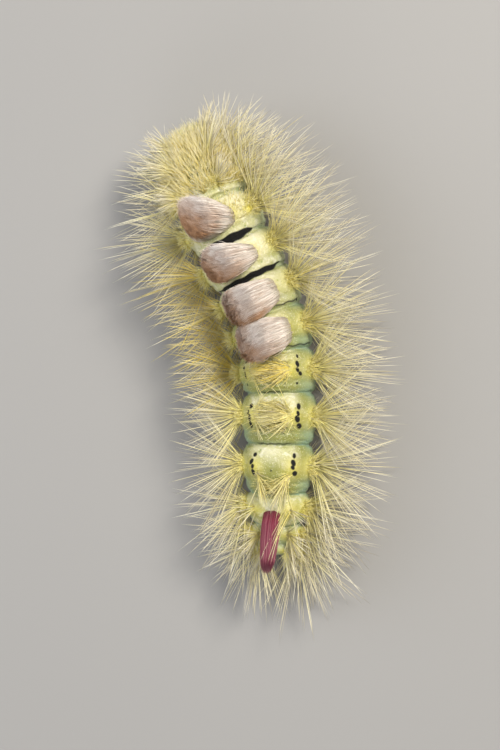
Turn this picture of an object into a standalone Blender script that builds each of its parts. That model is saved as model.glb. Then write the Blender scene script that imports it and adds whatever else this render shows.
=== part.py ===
"""A pale tussock larva at life size, about 42 mm long without its hairs.

It rests on the floor on its prolegs with its head towards +Y. Its back half lies straight and level.
Its front half is humped, bends to its left (-X) and is rolled a little, so that the brushes lean left.
Sizes are in millimetres until the last step, which makes each mesh in metres.
"""

import math
import random

import bmesh
import bpy
import numpy as np

MM = 0.001
GAP = 0.3  # between pieces that touch
OWN_GAP = -0.1  # between bristles of the same segment, which may brush against each other
SEED = 7

# Each body segment from the tail to the neck: name, length, half width, half height, then the angles at
# its middle in degrees: heading to the left of +Y, pitch of the head end up, roll of the back to the left.
SEGMENTS = (
    ("abdomen_10", 1.5, 1.9, 1.75, -2, 12, 2),
    ("abdomen_9", 1.9, 2.45, 2.3, -2, 12, 3),
    ("abdomen_8", 3.1, 3.05, 2.9, -2, 8, 4),
    ("abdomen_7", 4.8, 3.5, 3.3, -1.4, 3, 2),
    ("abdomen_6", 5.0, 3.7, 3.5, -1.6, 0, 3),
    ("abdomen_5", 4.1, 3.8, 3.6, 3, 0, 7),
    ("abdomen_4", 4.0, 3.9, 3.7, 13, 2, 10),
    ("abdomen_3", 3.8, 4.0, 3.8, 23, 4, 12),
    ("abdomen_2", 4.05, 4.1, 3.9, 28, 6, 13),
    ("abdomen_1", 4.2, 4.0, 3.9, 27, 4, 12),
    ("thorax_3", 2.4, 3.7, 3.6, 24, -6, 10),
    ("thorax_2", 2.25, 3.3, 3.2, 22, -17, 8),
    ("thorax_1", 1.8, 2.7, 2.6, 20, -28, 6),
)
NAMES = [row[0] for row in SEGMENTS]
LENGTHS = np.array([row[1] for row in SEGMENTS])
EDGES = np.concatenate([[0.0], np.cumsum(LENGTHS)])
MIDDLES = (EDGES[:-1] + EDGES[1:]) / 2
BODY_LENGTH = EDGES[-1]
TAIL_END = np.array([2.86, -19.52, 3.45])  # the hind tip of the body's centre line
TAIL_DOME = 1.3  # length over which the tail rounds off
BELLY = 0.9  # the belly's height as a share of the back's
GROOVE = 0.13  # how far the skin draws in between two segments, as a share of the radius
CREASE = (-0.5, 0.12, 0.035)  # a ring crease in each segment: its place, half width and depth

# Warts in rows along each side: name, angle from the middle of the back, lift, radius.
WARTS = {
    "back": (33, 0.35, 0.75),
    "flank": (74, 0.55, 0.85),
    "spiracle": (112, 0.4, 0.75),
    "belly": (148, 0.25, 0.6),
}
WART_PLACE = 0.12  # along the segment, from -1 at its hind edge to 1 at its front edge

# Bristles in the three upper rows of warts: how many on a long segment, the fan's half angles along and
# around the body, and the length as a share of the segment's. The thorax's back has dense short hair.
FANS = {"flank": (10, 42, 62, 1.0), "back": (5, 36, 46, 0.5), "spiracle": (6, 36, 44, 0.85)}
THORAX_BACK = (9, 46, 50, 0.55)
FULL_FAN_LENGTH = 4.2  # shorter segments carry fewer bristles
BRISTLE_LENGTH = dict(zip(NAMES, (8.6, 8.6, 8.4, 8.4, 8.4, 8.6, 8.8, 9.0, 9.6, 9.6, 8.4, 7.0, 5.6)))
FORWARD_LEAN = dict(zip(NAMES, (-1.5, -0.9, -0.45, -0.15, -0.05, 0, 0, 0.05, 0.1, 0.2, 0.4, 0.7, 1.2)))
BRISTLE_STATIONS = (-0.09, 0.55, 1.0)  # along its length: under the skin, at its bend and at its tip
BRISTLE_SIZES = (0.33, 0.29, 0.05)  # the radius at these stations
BRISTLE_SAG = 0.05  # how far the tip hangs, as a share of the length
ROOT_SPACING = 0.4
ATTEMPTS = 60  # tries to bend a bristle clear of the others, of which the last ones shorten it too
FLOOR_CLEARANCE = 0.45  # from the floor to a bristle's centre line

# The four brushes stand on the first four segments of the abdomen, with their forward lean in degrees.
BRUSHES = {"abdomen_1": 25, "abdomen_2": 17, "abdomen_3": -8, "abdomen_4": -13}
BRUSH_HEIGHT = 4.7
BRUSH_FOOT = (1.25, 43)  # half length along the back in mm, half angle across it in degrees
BRUSH_HEAD = (1.65, 1.3)  # half length and half width at the blunt end
BRUSH_ROWS, BRUSH_COLUMNS = 3, 5
BRUSH_CORE = 0.25  # the core's height as a share of the brush's
LOCK_LEVELS = (0.08, 0.5, 0.9)  # a lock's rings as shares of its length
LOCK_OVERLAP = 1.3  # a lock's size as a multiple of its share of the brush

# The pencil of long hair on the back of the eighth segment.
PENCIL_LENGTH = 6.6
PENCIL_RISE = 0.62  # its slope, rise per length to the rear
PENCIL_SHIFT = -0.3  # from the warts' station
PENCIL_CORE = 0.42  # half size of the core, and the core's length as a share of the pencil's
PENCIL_LOCKS = 6  # around a seventh in the middle
PENCIL_SPREAD = 0.34

# The fleshy prolegs end in flat soles on the floor. The three pairs of jointed legs end in claws above it.
PROLEGS = ("abdomen_3", "abdomen_4", "abdomen_5", "abdomen_6")
PROLEG_ANGLE = 146
PROLEG_ROOT = 0.85  # half size at the body
PROLEG_RINGS = ((0.5, 0.5), (0.32, 0.72), (0.0, 0.66))  # height above the floor and half size
LEG_ANGLE = 140
LEG_ROOT = 0.5
LEG_LINKS = (0.85, 0.85, 0.8)  # lengths of the three joints
CLAW_CLEARANCE = 0.1

# The head's heading, pitch and roll, then its rings from the neck to the face: distance ahead, half size,
# and drop towards the mouth.
HEAD_ANGLES = (20, -36, 5)
HEAD_RINGS = (
    (0.45, 1.4, 0.0),
    (0.8, 1.85, 0.0),
    (1.3, 2.0, 0.05),
    (1.85, 1.85, 0.12),
    (2.3, 1.5, 0.22),
    (2.6, 0.95, 0.35),
)
FACE = (2.72, 0.4)  # the middle of the face: distance ahead and drop
LOBE_GROOVE = (0.09, 14)  # depth as a share of the half size, and half width in degrees
STEMMATA = (1.75, 118)  # the middle of each side's ring of six simple eyes: distance ahead and angle
STEMMATA_RING = (0.34, 12)  # its half sizes in the same terms
STEMMA_SIZE = 0.19

SKIN = ((0.62, 0.70, 0.30, 1), 0.5)
BRUSH_HAIR = ((0.74, 0.62, 0.56, 1), 0.7)
PENCIL_HAIR = ((0.50, 0.08, 0.15, 1), 0.6)
HEAD_SHELL = ((0.60, 0.66, 0.28, 1), 0.35)
MOUTH_HORN = ((0.25, 0.14, 0.05, 1), 0.3)


def unit(v):
    return v / np.linalg.norm(v)


def smoothed(values, steps):
    """A running mean that keeps the ends."""
    padded = np.pad(values, steps, mode="edge")
    return np.convolve(padded, np.ones(2 * steps + 1) / (2 * steps + 1), mode="valid")


# The centre line, sampled finely, with the angles and half sizes along it.
STEP = 0.05
LINE_S = np.arange(0, BODY_LENGTH + STEP, STEP)
COLUMNS = [smoothed(np.interp(LINE_S, MIDDLES, [row[k] for row in SEGMENTS]), 20) for k in range(2, 7)]
HALF_WIDTH, HALF_HEIGHT, HEADING, PITCH, ROLL = COLUMNS


def axes_at_angles(heading, pitch, roll):
    """Forward, right and back directions for angles in degrees."""
    h, p, r = (math.radians(a) for a in (heading, pitch, roll))
    forward = np.array([-math.sin(h) * math.cos(p), math.cos(h) * math.cos(p), math.sin(p)])
    level = np.array([math.cos(h), math.sin(h), 0.0])
    up = np.cross(level, forward)
    right = level * math.cos(r) + up * math.sin(r)
    back = up * math.cos(r) - level * math.sin(r)
    return forward, right, back


def axes(s):
    return axes_at_angles(*(np.interp(s, LINE_S, column) for column in (HEADING, PITCH, ROLL)))


LINE = TAIL_END + np.cumsum([axes(s)[0] * STEP for s in LINE_S], axis=0)


def centre(s):
    return np.array([np.interp(s, LINE_S, LINE[:, k]) for k in range(3)])


def segment_of(s):
    """The segment's number and the place in it, from -1 at its hind edge to 1 at its front edge."""
    number = int(np.clip(np.searchsorted(EDGES, s) - 1, 0, len(NAMES) - 1))
    return number, 2 * (s - EDGES[number]) / LENGTHS[number] - 1


def swell(s):
    """The radius as a share of the segment's own: drawn in at both edges and at the ring crease."""
    _, place = segment_of(s)
    at, half, depth = CREASE
    share = 1 - GROOVE * abs(place) ** 4 - depth * math.exp(-(((place - at) / half) ** 2))
    if s < TAIL_DOME:
        share *= math.sqrt(max(0.0, 1 - (1 - s / TAIL_DOME) ** 2))
    return share


def wart_station(number):
    return EDGES[number] + LENGTHS[number] * (1 + WART_PLACE) / 2


def lift(s, angle):
    """How far the warts raise the skin at a place. Angles are in degrees from the middle of the back."""
    number, _ = segment_of(s)
    radius = np.interp(s, LINE_S, HALF_WIDTH)
    share = min(1.0, LENGTHS[number] / 3.5)
    total = 0.0
    for at, height, size in WARTS.values():
        along = (s - wart_station(number)) / (size * share)
        across = math.radians(abs(angle) - at) * radius / size
        total += height * share * math.exp(-(along**2) - across**2)
    return total


def skin(s, angle, out=0.0):
    """A point of the skin or out from it by a distance. Positive angles are on the right side."""
    _, right, back = axes(s)
    a = math.radians(angle)
    tall = np.interp(s, LINE_S, HALF_HEIGHT) * (1 if math.cos(a) > 0 else BELLY)
    wide = np.interp(s, LINE_S, HALF_WIDTH)
    radial = right * math.sin(a) + back * math.cos(a)
    oval = right * (wide * math.sin(a)) + back * (tall * math.cos(a))
    return centre(s) + oval * swell(s) + radial * (lift(s, angle) + out)


def skin_normal(s, angle):
    along = skin(s + 0.2, angle) - skin(s - 0.2, angle)
    across = skin(s, angle + 4) - skin(s, angle - 4)
    normal = unit(np.cross(along, across))
    _, right, back = axes(s)
    radial = right * math.sin(math.radians(angle)) + back * math.cos(math.radians(angle))
    return normal if normal @ radial > 0 else -normal


def loft(rings, first=None, last=None):
    """A closed shape through rings of equal count, with a point in the middle of each end."""
    count = len(rings[0])
    first = np.mean(rings[0], axis=0) if first is None else first
    last = np.mean(rings[-1], axis=0) if last is None else last
    points = [p for ring in rings for p in ring] + [first, last]
    faces = []
    for k in range(len(rings) - 1):
        for i in range(count):
            j = (i + 1) % count
            faces.append((k * count + i, k * count + j, (k + 1) * count + j, (k + 1) * count + i))
    hind, front = len(points) - 2, len(points) - 1
    top = (len(rings) - 1) * count
    for i in range(count):
        j = (i + 1) % count
        faces.append((hind, j, i))
        faces.append((front, top + i, top + j))
    return points, faces


def rod(points, half_widths, half_depths, wide_way, sides=3, first_turn=0.0):
    """A tapered rod through points that ends in a tip. wide_way is the direction of its half widths."""
    rings = []
    for k in range(len(points) - 1):
        ahead = unit(points[k + 1] - points[max(k - 1, 0)])
        across = unit(np.cross(np.cross(ahead, wide_way), ahead))
        deep = np.cross(ahead, across)
        turn = [2 * math.pi * i / sides + first_turn for i in range(sides)]
        rings.append(
            [
                points[k] + across * (half_widths[k] * math.cos(t)) + deep * (half_depths[k] * math.sin(t))
                for t in turn
            ]
        )
    return loft(rings, last=points[-1])


def mesh_of(name, shape):
    """A mesh with its faces pointing out, in millimetres."""
    points, faces = shape
    mesh = bpy.data.meshes.new(name)
    mesh.from_pydata([tuple(map(float, p)) for p in points], [], faces)
    build = bmesh.new()
    build.from_mesh(mesh)
    bmesh.ops.recalc_face_normals(build, faces=build.faces)
    bmesh.ops.triangulate(build, faces=build.faces)
    build.to_mesh(mesh)
    build.free()
    return mesh


def material(name, look):
    found = bpy.data.materials.get(name)
    if found:
        return found
    made = bpy.data.materials.new(name)
    made.use_nodes = True
    colour, roughness = look
    shader = made.node_tree.nodes["Principled BSDF"]
    shader.inputs["Base Color"].default_value = colour
    shader.inputs["Roughness"].default_value = roughness
    shader.inputs["Metallic"].default_value = 0.0
    return made


def keep_largest(mesh):
    """Leaves only the mesh's largest closed surface."""
    build = bmesh.new()
    build.from_mesh(mesh)
    left = set(build.verts)
    islands = []
    while left:
        found, edge = set(), [left.pop()]
        while edge:
            vertex = edge.pop()
            found.add(vertex)
            for link in vertex.link_edges:
                other = link.other_vert(vertex)
                if other in left:
                    left.discard(other)
                    edge.append(other)
        islands.append(found)
    islands.sort(key=len)
    for island in islands[:-1]:
        bmesh.ops.delete(build, geom=list(island), context="VERTS")
    build.to_mesh(mesh)
    build.free()


def node(name, shapes, look_name, look):
    """One named object, its shapes fused into one closed body, in metres.

    The Boolean's manifold solver joins dozens of rods at once, where the exact one is slow.
    """
    parts = [bpy.data.objects.new(f"{name}_{k}", mesh_of(name, shape)) for k, shape in enumerate(shapes)]
    base = parts[0]
    base.name = name
    bpy.context.scene.collection.objects.link(base)
    if len(parts) > 1:
        group = bpy.data.collections.new(name)
        bpy.context.scene.collection.children.link(group)
        for part in parts[1:]:
            group.objects.link(part)
        union = base.modifiers.new("fuse", "BOOLEAN")
        union.operation = "UNION"
        union.operand_type = "COLLECTION"
        union.collection = group
        union.solver = "MANIFOLD"
        graph = bpy.context.evaluated_depsgraph_get()
        fused = bpy.data.meshes.new_from_object(base.evaluated_get(graph))
        base.modifiers.clear()
        base.data = fused
        for part in parts[1:]:
            bpy.data.objects.remove(part)
        bpy.data.collections.remove(group)
        keep_largest(base.data)
    base.data.vertices.foreach_set("co", np.array([v.co * MM for v in base.data.vertices]).ravel())
    base.data.update()
    base.data.materials.clear()
    base.data.materials.append(material(look_name, look))
    base.data.shade_smooth()
    base.data.set_sharp_from_angle(angle=math.radians(50))
    return base


class Thicket:
    """The rods placed so far, and the body, so that each new bristle can be bent clear of other pieces."""

    def __init__(self):
        self.starts, self.ends, self.sizes, self.owners = [], [], [], []
        self.line_s = np.arange(0, BODY_LENGTH, 0.25)
        self.line = np.array([centre(s) for s in self.line_s])

    def add(self, owner, points, sizes):
        for k in range(len(points) - 1):
            self.starts.append(points[k])
            self.ends.append(points[k + 1])
            self.sizes.append(max(sizes[k], sizes[k + 1]))
            self.owners.append(owner)

    def samples(self, points, sizes):
        found, radii = [], []
        for k in range(len(points) - 1):
            steps = max(2, int(np.linalg.norm(points[k + 1] - points[k]) / 0.4))
            for t in np.linspace(0, 1, steps):
                found.append(points[k] + (points[k + 1] - points[k]) * t)
                radii.append(sizes[k] + (sizes[k + 1] - sizes[k]) * t)
        return np.array(found), np.array(radii)

    def clear(self, owner, points, sizes):
        found, radii = self.samples(points, sizes)
        if self.owners:
            a, b = np.array(self.starts), np.array(self.ends)
            gaps = np.where([name == owner for name in self.owners], OWN_GAP, GAP)
            way = b - a
            share = ((found[:, None] - a) * way).sum(2) / (way**2).sum(1)
            nearest = a + way * np.clip(share, 0, 1)[..., None]
            apart = np.linalg.norm(found[:, None] - nearest, axis=2)
            if (apart < radii[:, None] + np.array(self.sizes) + gaps).any():
                return False
        return not self.in_body(owner, found, radii)

    def in_body(self, owner, found, radii):
        apart = np.linalg.norm(found[:, None] - self.line, axis=2)
        nearest = apart.argmin(1)
        for k, at in enumerate(nearest):
            s = self.line_s[at]
            if apart[k, at] > 6 or NAMES[segment_of(s)[0]] == owner:
                continue
            _, right, back = axes(s)
            offset = found[k] - self.line[at]
            angle = math.degrees(math.atan2(offset @ right, offset @ back))
            reach = np.linalg.norm(skin(s, angle) - self.line[at])
            if apart[k, at] < reach + radii[k] + GAP:
                return True
        return False


def body_segments(bristles):
    """The thirteen rings of the body, each fused with its own bristles."""
    angles = [0, 16, 33, 53, 74, 93, 112, 130, 148, 164]
    angles = angles + [180] + [-a for a in reversed(angles[1:])]
    for number, name in enumerate(NAMES):
        low, high = EDGES[number] + GAP / 2, EDGES[number + 1] - GAP / 2
        places = (-0.7, -0.35, WART_PLACE, 0.6)
        if LENGTHS[number] < 3:
            places = (-0.5, WART_PLACE, 0.6)
        inner = [EDGES[number] + LENGTHS[number] * (1 + place) / 2 for place in places]
        stations = [low, *inner, high]
        first = None
        if number == 0:
            stations = [0.12, 0.4, 0.8, wart_station(0), high]
            first = centre(0.0)
        rings = [[skin(s, a) for a in angles] for s in stations]
        node(name, [loft(rings, first=first), *bristles.get(name, [])], "skin", SKIN)


def fan(number, side, wart_angle, values, draw):
    """The roots and directions of one wart's bristles, spread over it and over a cone about its axis."""
    count, along_angle, around_angle, _ = values
    count = max(2, round(count * min(1.0, LENGTHS[number] / FULL_FAN_LENGTH)))
    s = wart_station(number)
    angle = wart_angle * side
    forward, _, _ = axes(s)
    radius = float(np.interp(s, LINE_S, HALF_WIDTH)) * swell(s)
    axis = unit(skin_normal(s, angle) + forward * FORWARD_LEAN[NAMES[number]])
    around = unit(np.cross(axis, forward)) * side
    ahead = np.cross(around, axis) * side
    start = draw.uniform(0, 2 * math.pi)
    reach = ROOT_SPACING * math.sqrt(count)
    along_reach = min(reach, LENGTHS[number] / 2 - 0.6)
    for k in range(count):
        share = math.sqrt((k + 0.5) / count)
        turn = start + k * math.radians(137.5)
        a, b = share * math.cos(turn), share * math.sin(turn)
        lean = ahead * (a * math.radians(along_angle)) + around * (b * math.radians(around_angle))
        tilt = np.linalg.norm(lean)
        root = skin(s + along_reach * a, angle + side * math.degrees(reach * b / radius))
        yield root, axis * math.cos(tilt) + lean / tilt * math.sin(tilt)


def bristle_points(root, way, length):
    """A bristle's centre line, which bends down a little towards its tip and never dips to the floor."""
    points = []
    for share in BRISTLE_STATIONS:
        sag = BRISTLE_SAG * length * max(share, 0) ** 2
        point = root + way * (length * share) - np.array([0, 0, sag])
        if share > 0:
            point[2] = max(point[2], FLOOR_CLEARANCE)
        points.append(point)
    return points


def grow_bristles(thicket):
    """Every bristle, each a rod that stands for a bundle of hairs, listed by the segment it grows from."""
    draw = random.Random(SEED)
    grown = {name: [] for name in NAMES}
    for row, row_values in FANS.items():
        for number, name in enumerate(NAMES):
            values = row_values
            if row == "back" and name in BRUSHES:
                continue
            if row == "back" and name.startswith("thorax"):
                values = THORAX_BACK
            for side in (1, -1):
                for root, way in fan(number, side, WARTS[row][0], values, draw):
                    length = BRISTLE_LENGTH[name] * values[3] * draw.uniform(0.92, 1.05)
                    found = bend_clear(thicket, name, root, way, length, draw)
                    if found:
                        thicket.add(name, found, BRISTLE_SIZES)
                        wide_way = axes(MIDDLES[number])[0] + 0.3
                        grown[name].append(rod(found, BRISTLE_SIZES, BRISTLE_SIZES, wide_way))
    return grown


def bend_clear(thicket, name, root, way, length, draw):
    """The bristle's line as wished, or bent or shortened until it is clear of other pieces, or None."""
    for attempt in range(ATTEMPTS):
        bend = 0.72 * attempt / ATTEMPTS
        shift = np.array([draw.gauss(0, bend) for _ in range(3)])
        late = max(0.0, attempt / ATTEMPTS - 0.6) / 0.4
        points = bristle_points(root, unit(way + shift), length * (1 - 0.35 * late))
        if thicket.clear(name, points, BRISTLE_SIZES):
            return points
    return None


def brush(name, thicket):
    """A dense brush across the back of one segment: a core, with blunt locks that lean in to its crest."""
    number = NAMES.index(name)
    s = wart_station(number)
    forward, right, back = axes(s)
    way = unit(back + forward * math.tan(math.radians(BRUSHES[name])))
    half_foot, half_angle = BRUSH_FOOT
    half_long, half_wide = BRUSH_HEAD

    def at(p, q, share, height=BRUSH_HEIGHT):
        """A point in the brush: p along the back and q across it from -1 to 1, share up it from 0 to 1."""
        foot = skin(s + p * half_foot, q * half_angle, GAP)
        head = skin(s, 0) + way * height + forward * (p * half_long) + right * (q * half_wide)
        bulge = (forward * p + right * q) * (0.5 * share * (1 - share))
        return foot + (head - foot) * share + bulge

    rim = [(math.cos(t), math.sin(t)) for t in (2 * math.pi * k / 14 for k in range(14))]
    low = [at(0.95 * p, 0.95 * q, 0) for p, q in rim]
    high = [at(0.85 * p, 0.85 * q, BRUSH_CORE) for p, q in rim]
    shapes = [loft([low, high], first=at(0, 0, 0))]
    draw = random.Random(SEED + number)
    wide_foot = math.radians(half_angle) * HALF_WIDTH.max() / BRUSH_COLUMNS
    for row in range(BRUSH_ROWS):
        for column in range(BRUSH_COLUMNS):
            p = (2 * (row + 0.5) / BRUSH_ROWS - 1) * 0.95
            q = (2 * (column + 0.5) / BRUSH_COLUMNS - 1) * math.sqrt(1 - 0.3 * p * p)
            height = BRUSH_HEIGHT * (1 - 0.09 * (p * p + q * q) + draw.uniform(-0.03, 0.03))
            line = [at(p, q, share, height) for share in (*LOCK_LEVELS, 1.0)]
            wide, deep = [], []
            for share in LOCK_LEVELS:
                wide.append((wide_foot * (1 - share) + half_wide / BRUSH_COLUMNS * share) * LOCK_OVERLAP)
                deep.append((half_foot * (1 - share) + half_long * share) / BRUSH_ROWS * LOCK_OVERLAP)
            shapes.append(rod(line, wide, deep, right, 4, math.pi / 4))
            thicket.add("brush_" + name, line, (wide[0], wide[1], deep[2], 0.2))
    node(name.replace("abdomen", "brush"), shapes, "brush_hair", BRUSH_HAIR)


def tail_pencil(thicket):
    """The long pencil of red hair on the back of the eighth segment, slanting up and to the rear."""
    s = wart_station(NAMES.index("abdomen_8")) + PENCIL_SHIFT
    forward, right, back = axes(s)
    way = unit(back * PENCIL_RISE - forward + right * 0.04)
    side = np.cross(way, right)
    foot = skin(s, 0, GAP)
    rim = [2 * math.pi * k / 8 for k in range(8)]
    low = [skin(s + 0.5 * math.cos(t), 11 * math.sin(t), GAP) for t in rim]
    middle = foot + way * (PENCIL_LENGTH * PENCIL_CORE)
    high = [middle + (right * math.sin(t) - side * math.cos(t)) * PENCIL_CORE for t in rim]
    shapes = [loft(aligned([low, high]), first=foot)]
    for k in range(PENCIL_LOCKS + 1):
        inner = k == PENCIL_LOCKS
        t = 2 * math.pi * k / PENCIL_LOCKS
        off = (right * math.cos(t) + side * math.sin(t)) * (0.0 if inner else PENCIL_SPREAD)
        line = []
        for share, spread in ((0.2, 0.7), (0.55, 1.4), (0.8, 1.3)):
            line.append(foot + way * (PENCIL_LENGTH * share) + off * spread)
        reach = PENCIL_LENGTH * (1.0 if inner else 0.9) * (1 - 0.05 * (k % 3))
        line.append(foot + way * reach + off * 0.5)
        shapes.append(rod(line, (0.3, 0.34, 0.3), (0.28, 0.3, 0.26), right, sides=4))
    line = [foot + way * (PENCIL_LENGTH * share) for share in (0.0, 0.5, 1.0)]
    thicket.add("tail_pencil", line, (0.55, 0.8, 0.6))
    node("tail_pencil", shapes, "pencil_hair", PENCIL_HAIR)


def leg_top(s, angle, half_long, half_wide, count):
    """The ring and middle of a leg's upper end, which follows the skin at a gap."""
    radius = float(np.interp(s, LINE_S, HALF_WIDTH))
    turn = [2 * math.pi * k / count for k in range(count)]
    spread = math.degrees(half_wide / radius)
    ring = [skin(s + half_long * math.cos(t), angle + spread * math.sin(t), GAP) for t in turn]
    return ring, skin(s, angle, GAP)


def proleg(name, number, side, place, foot_out, thicket):
    """A fleshy leg of the abdomen, which ends in a flat sole on the floor."""
    s = EDGES[number] + LENGTHS[number] * place
    forward, right, _ = axes(s)
    ring, middle = leg_top(s, side * PROLEG_ANGLE, PROLEG_ROOT, PROLEG_ROOT, 10)
    level = unit(np.array([right[0], right[1], 0.0]))
    ahead = unit(np.array([forward[0], forward[1], 0.0]))
    sole = middle + level * (side * foot_out)
    turn = [2 * math.pi * k / 10 for k in range(10)]

    def flat(height, half):
        at = np.array([sole[0], sole[1], height])
        return [at + ahead * (half * math.cos(t)) + level * (side * half * math.sin(t)) for t in turn]

    ring, *foot_rings = aligned([ring, *[flat(height, half) for height, half in PROLEG_RINGS]])
    knee = [a * 0.45 + b * 0.55 for a, b in zip(ring, foot_rings[0])]
    node(name, [loft([ring, knee, *foot_rings], first=middle)], "skin", SKIN)
    thicket.add(name, [middle, sole * [1, 1, 0] + [0, 0, 0.3]], (0.9, 0.8))


def true_leg(name, number, side, thicket):
    """A short jointed leg of the thorax, which ends in a claw at or above the floor."""
    s = EDGES[number] + LENGTHS[number] * 0.5
    forward, right, _ = axes(s)
    ring, middle = leg_top(s, side * LEG_ANGLE, LEG_ROOT, LEG_ROOT, 8)
    out = unit(skin_normal(s, side * LEG_ANGLE) * 0.75 + right * side * 0.35)
    down = np.array([0, 0, -1.0])
    knee = middle + out * LEG_LINKS[0] + forward * 0.15
    shin = knee + unit(out * 0.55 + down + forward * 0.3) * LEG_LINKS[1]
    claw = shin + unit(down * 1.2 - right * side * 0.4 + forward * 0.35) * LEG_LINKS[2]
    line = [middle, knee, shin, claw]
    drop = min(1.0, (middle[2] - CLAW_CLEARANCE) / (middle[2] - claw[2]))
    line = [np.array([p[0], p[1], middle[2] + (p[2] - middle[2]) * drop]) for p in line]
    turn = [2 * math.pi * k / 8 for k in range(8)]
    rings = [ring]
    for k, half in ((1, 0.42), (2, 0.32)):
        ahead = unit(line[k + 1] - line[k - 1])
        across = unit(np.cross(ahead, forward))
        other = np.cross(across, ahead)
        rings.append([line[k] + other * (half * math.cos(t)) + across * (half * math.sin(t)) for t in turn])
    node(name, [loft(aligned(rings), first=middle, last=line[3])], "skin", SKIN)
    thicket.add(name, line, (0.55, 0.45, 0.35, 0.1))


def aligned(rings):
    """The rings, each turned round and started so that its points face those of the ring before."""
    done = [rings[0]]
    for ring in rings[1:]:
        before = np.array(done[-1]) - np.mean(done[-1], axis=0)
        best = None
        for way in (1, -1):
            for start in range(len(ring)):
                tried = [ring[(start + way * k) % len(ring)] for k in range(len(ring))]
                score = (before * (np.array(tried) - np.mean(tried, axis=0))).sum()
                if best is None or score > best[0]:
                    best = (score, tried)
        done.append(best[1])
    return done


def head_frame():
    """The middle of the neck's front face, and the head's axes."""
    return centre(BODY_LENGTH), *axes_at_angles(*HEAD_ANGLES)


def head_point(ahead, half, drop, angle):
    """A point of the head capsule, with a groove between its two lobes."""
    middle, forward, right, back = head_frame()
    a = math.radians(angle)
    groove = 1 - LOBE_GROOVE[0] * math.exp(-((angle / LOBE_GROOVE[1]) ** 2))
    radial = right * math.sin(a) + back * math.cos(a)
    return middle + forward * ahead - back * drop + radial * (half * groove)


def head(thicket):
    """The head capsule with its stemmata, then the feelers and mouthparts as pieces of their own."""
    middle, forward, right, back = head_frame()
    angles = [360 * k / 18 for k in range(18)]
    angles = [a if a <= 180 else a - 360 for a in angles]
    rings = [[head_point(*size, a) for a in angles] for size in HEAD_RINGS]
    shapes = [loft(rings, last=middle + forward * FACE[0] - back * FACE[1])]
    for side in (1, -1):
        for k in range(6):
            t = math.radians(60 * k - 40)
            ahead = STEMMATA[0] + STEMMATA_RING[0] * math.cos(t)
            at = head_point(ahead, 1.9, 0.12, side * (STEMMATA[1] + STEMMATA_RING[1] * math.sin(t)))
            shapes.append(stemma(at, unit(middle + forward * 1.2 - at), forward, right))
    node("head", shapes, "head_shell", HEAD_SHELL)
    thicket.add("head", [middle, middle + forward * 2.0], (2.1, 2.1))
    mouth = middle + forward * 2.3 - back * 1.45
    jaw_way = unit(forward * 0.55 - back)
    for side, word in ((1, "right"), (-1, "left")):
        root = mouth + jaw_way * 0.55 + right * (side * 0.45)
        line = [root, root + jaw_way * 0.4, root + jaw_way * 0.75 - right * (side * 0.12)]
        jaw = rod(line, (0.3, 0.27), (0.36, 0.33), right, sides=6)
        node(f"mandible_{word}", [jaw], "mouth_horn", MOUTH_HORN)
        root = head_point(2.0, 1.78, 0.15, side * 132)
        root = root + (forward + right * (side * 0.6) - back * 0.4) * 0.32
        way = unit(forward + right * (side * 0.7) - back * 0.5)
        line = [root, root + way * 0.45, root + way * 0.95]
        feeler = rod(line, (0.28, 0.25), (0.28, 0.25), right, sides=6)
        node(f"feeler_{word}", [feeler], "head_shell", HEAD_SHELL)
    root = mouth + forward * 0.72 + jaw_way * 0.1
    line = [root, root + jaw_way * 0.4, root + jaw_way * 0.7]
    lip = rod(line, (0.62, 0.55), (0.3, 0.26), right, sides=6)
    node("labrum", [lip], "head_shell", HEAD_SHELL)
    thicket.add("mouth", [mouth, mouth + jaw_way * 1.3], (1.0, 0.9))


def stemma(at, inward, forward, right):
    """One simple eye, a small eight-sided bead half sunk in the head."""
    at = at + inward * 0.02
    rim = [at + way * STEMMA_SIZE for way in (forward, right, -forward, -right)]
    faces = []
    for k in range(4):
        faces.append((k, (k + 1) % 4, 4))
        faces.append(((k + 1) % 4, k, 5))
    return [*rim, at - inward * 0.2, at + inward * 0.25], faces


def main():
    for old in list(bpy.data.objects):
        bpy.data.objects.remove(old)
    thicket = Thicket()
    head(thicket)
    sides = ((1, "right"), (-1, "left"))
    for name in ("thorax_1", "thorax_2", "thorax_3"):
        for side, word in sides:
            true_leg(f"leg_{name[-1]}_{word}", NAMES.index(name), side, thicket)
    for name in PROLEGS:
        for side, word in sides:
            proleg(f"proleg_{name[-1]}_{word}", NAMES.index(name), side, 0.5, 0.35, thicket)
    for side, word in sides:
        proleg(f"anal_proleg_{word}", 0, side, 0.72, 0.3, thicket)
    for name in BRUSHES:
        brush(name, thicket)
    tail_pencil(thicket)
    body_segments(grow_bristles(thicket))


main()
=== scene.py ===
"""The looks of a life-size pale tussock larva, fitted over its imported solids.

The sections follow the animal as it is put together: skin, legs, head, side bristles, the yellow coat of the
thorax, the four brushes and the tail pencil. Sizes are in millimetres, and each mesh is made in metres.
"""
import math

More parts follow.
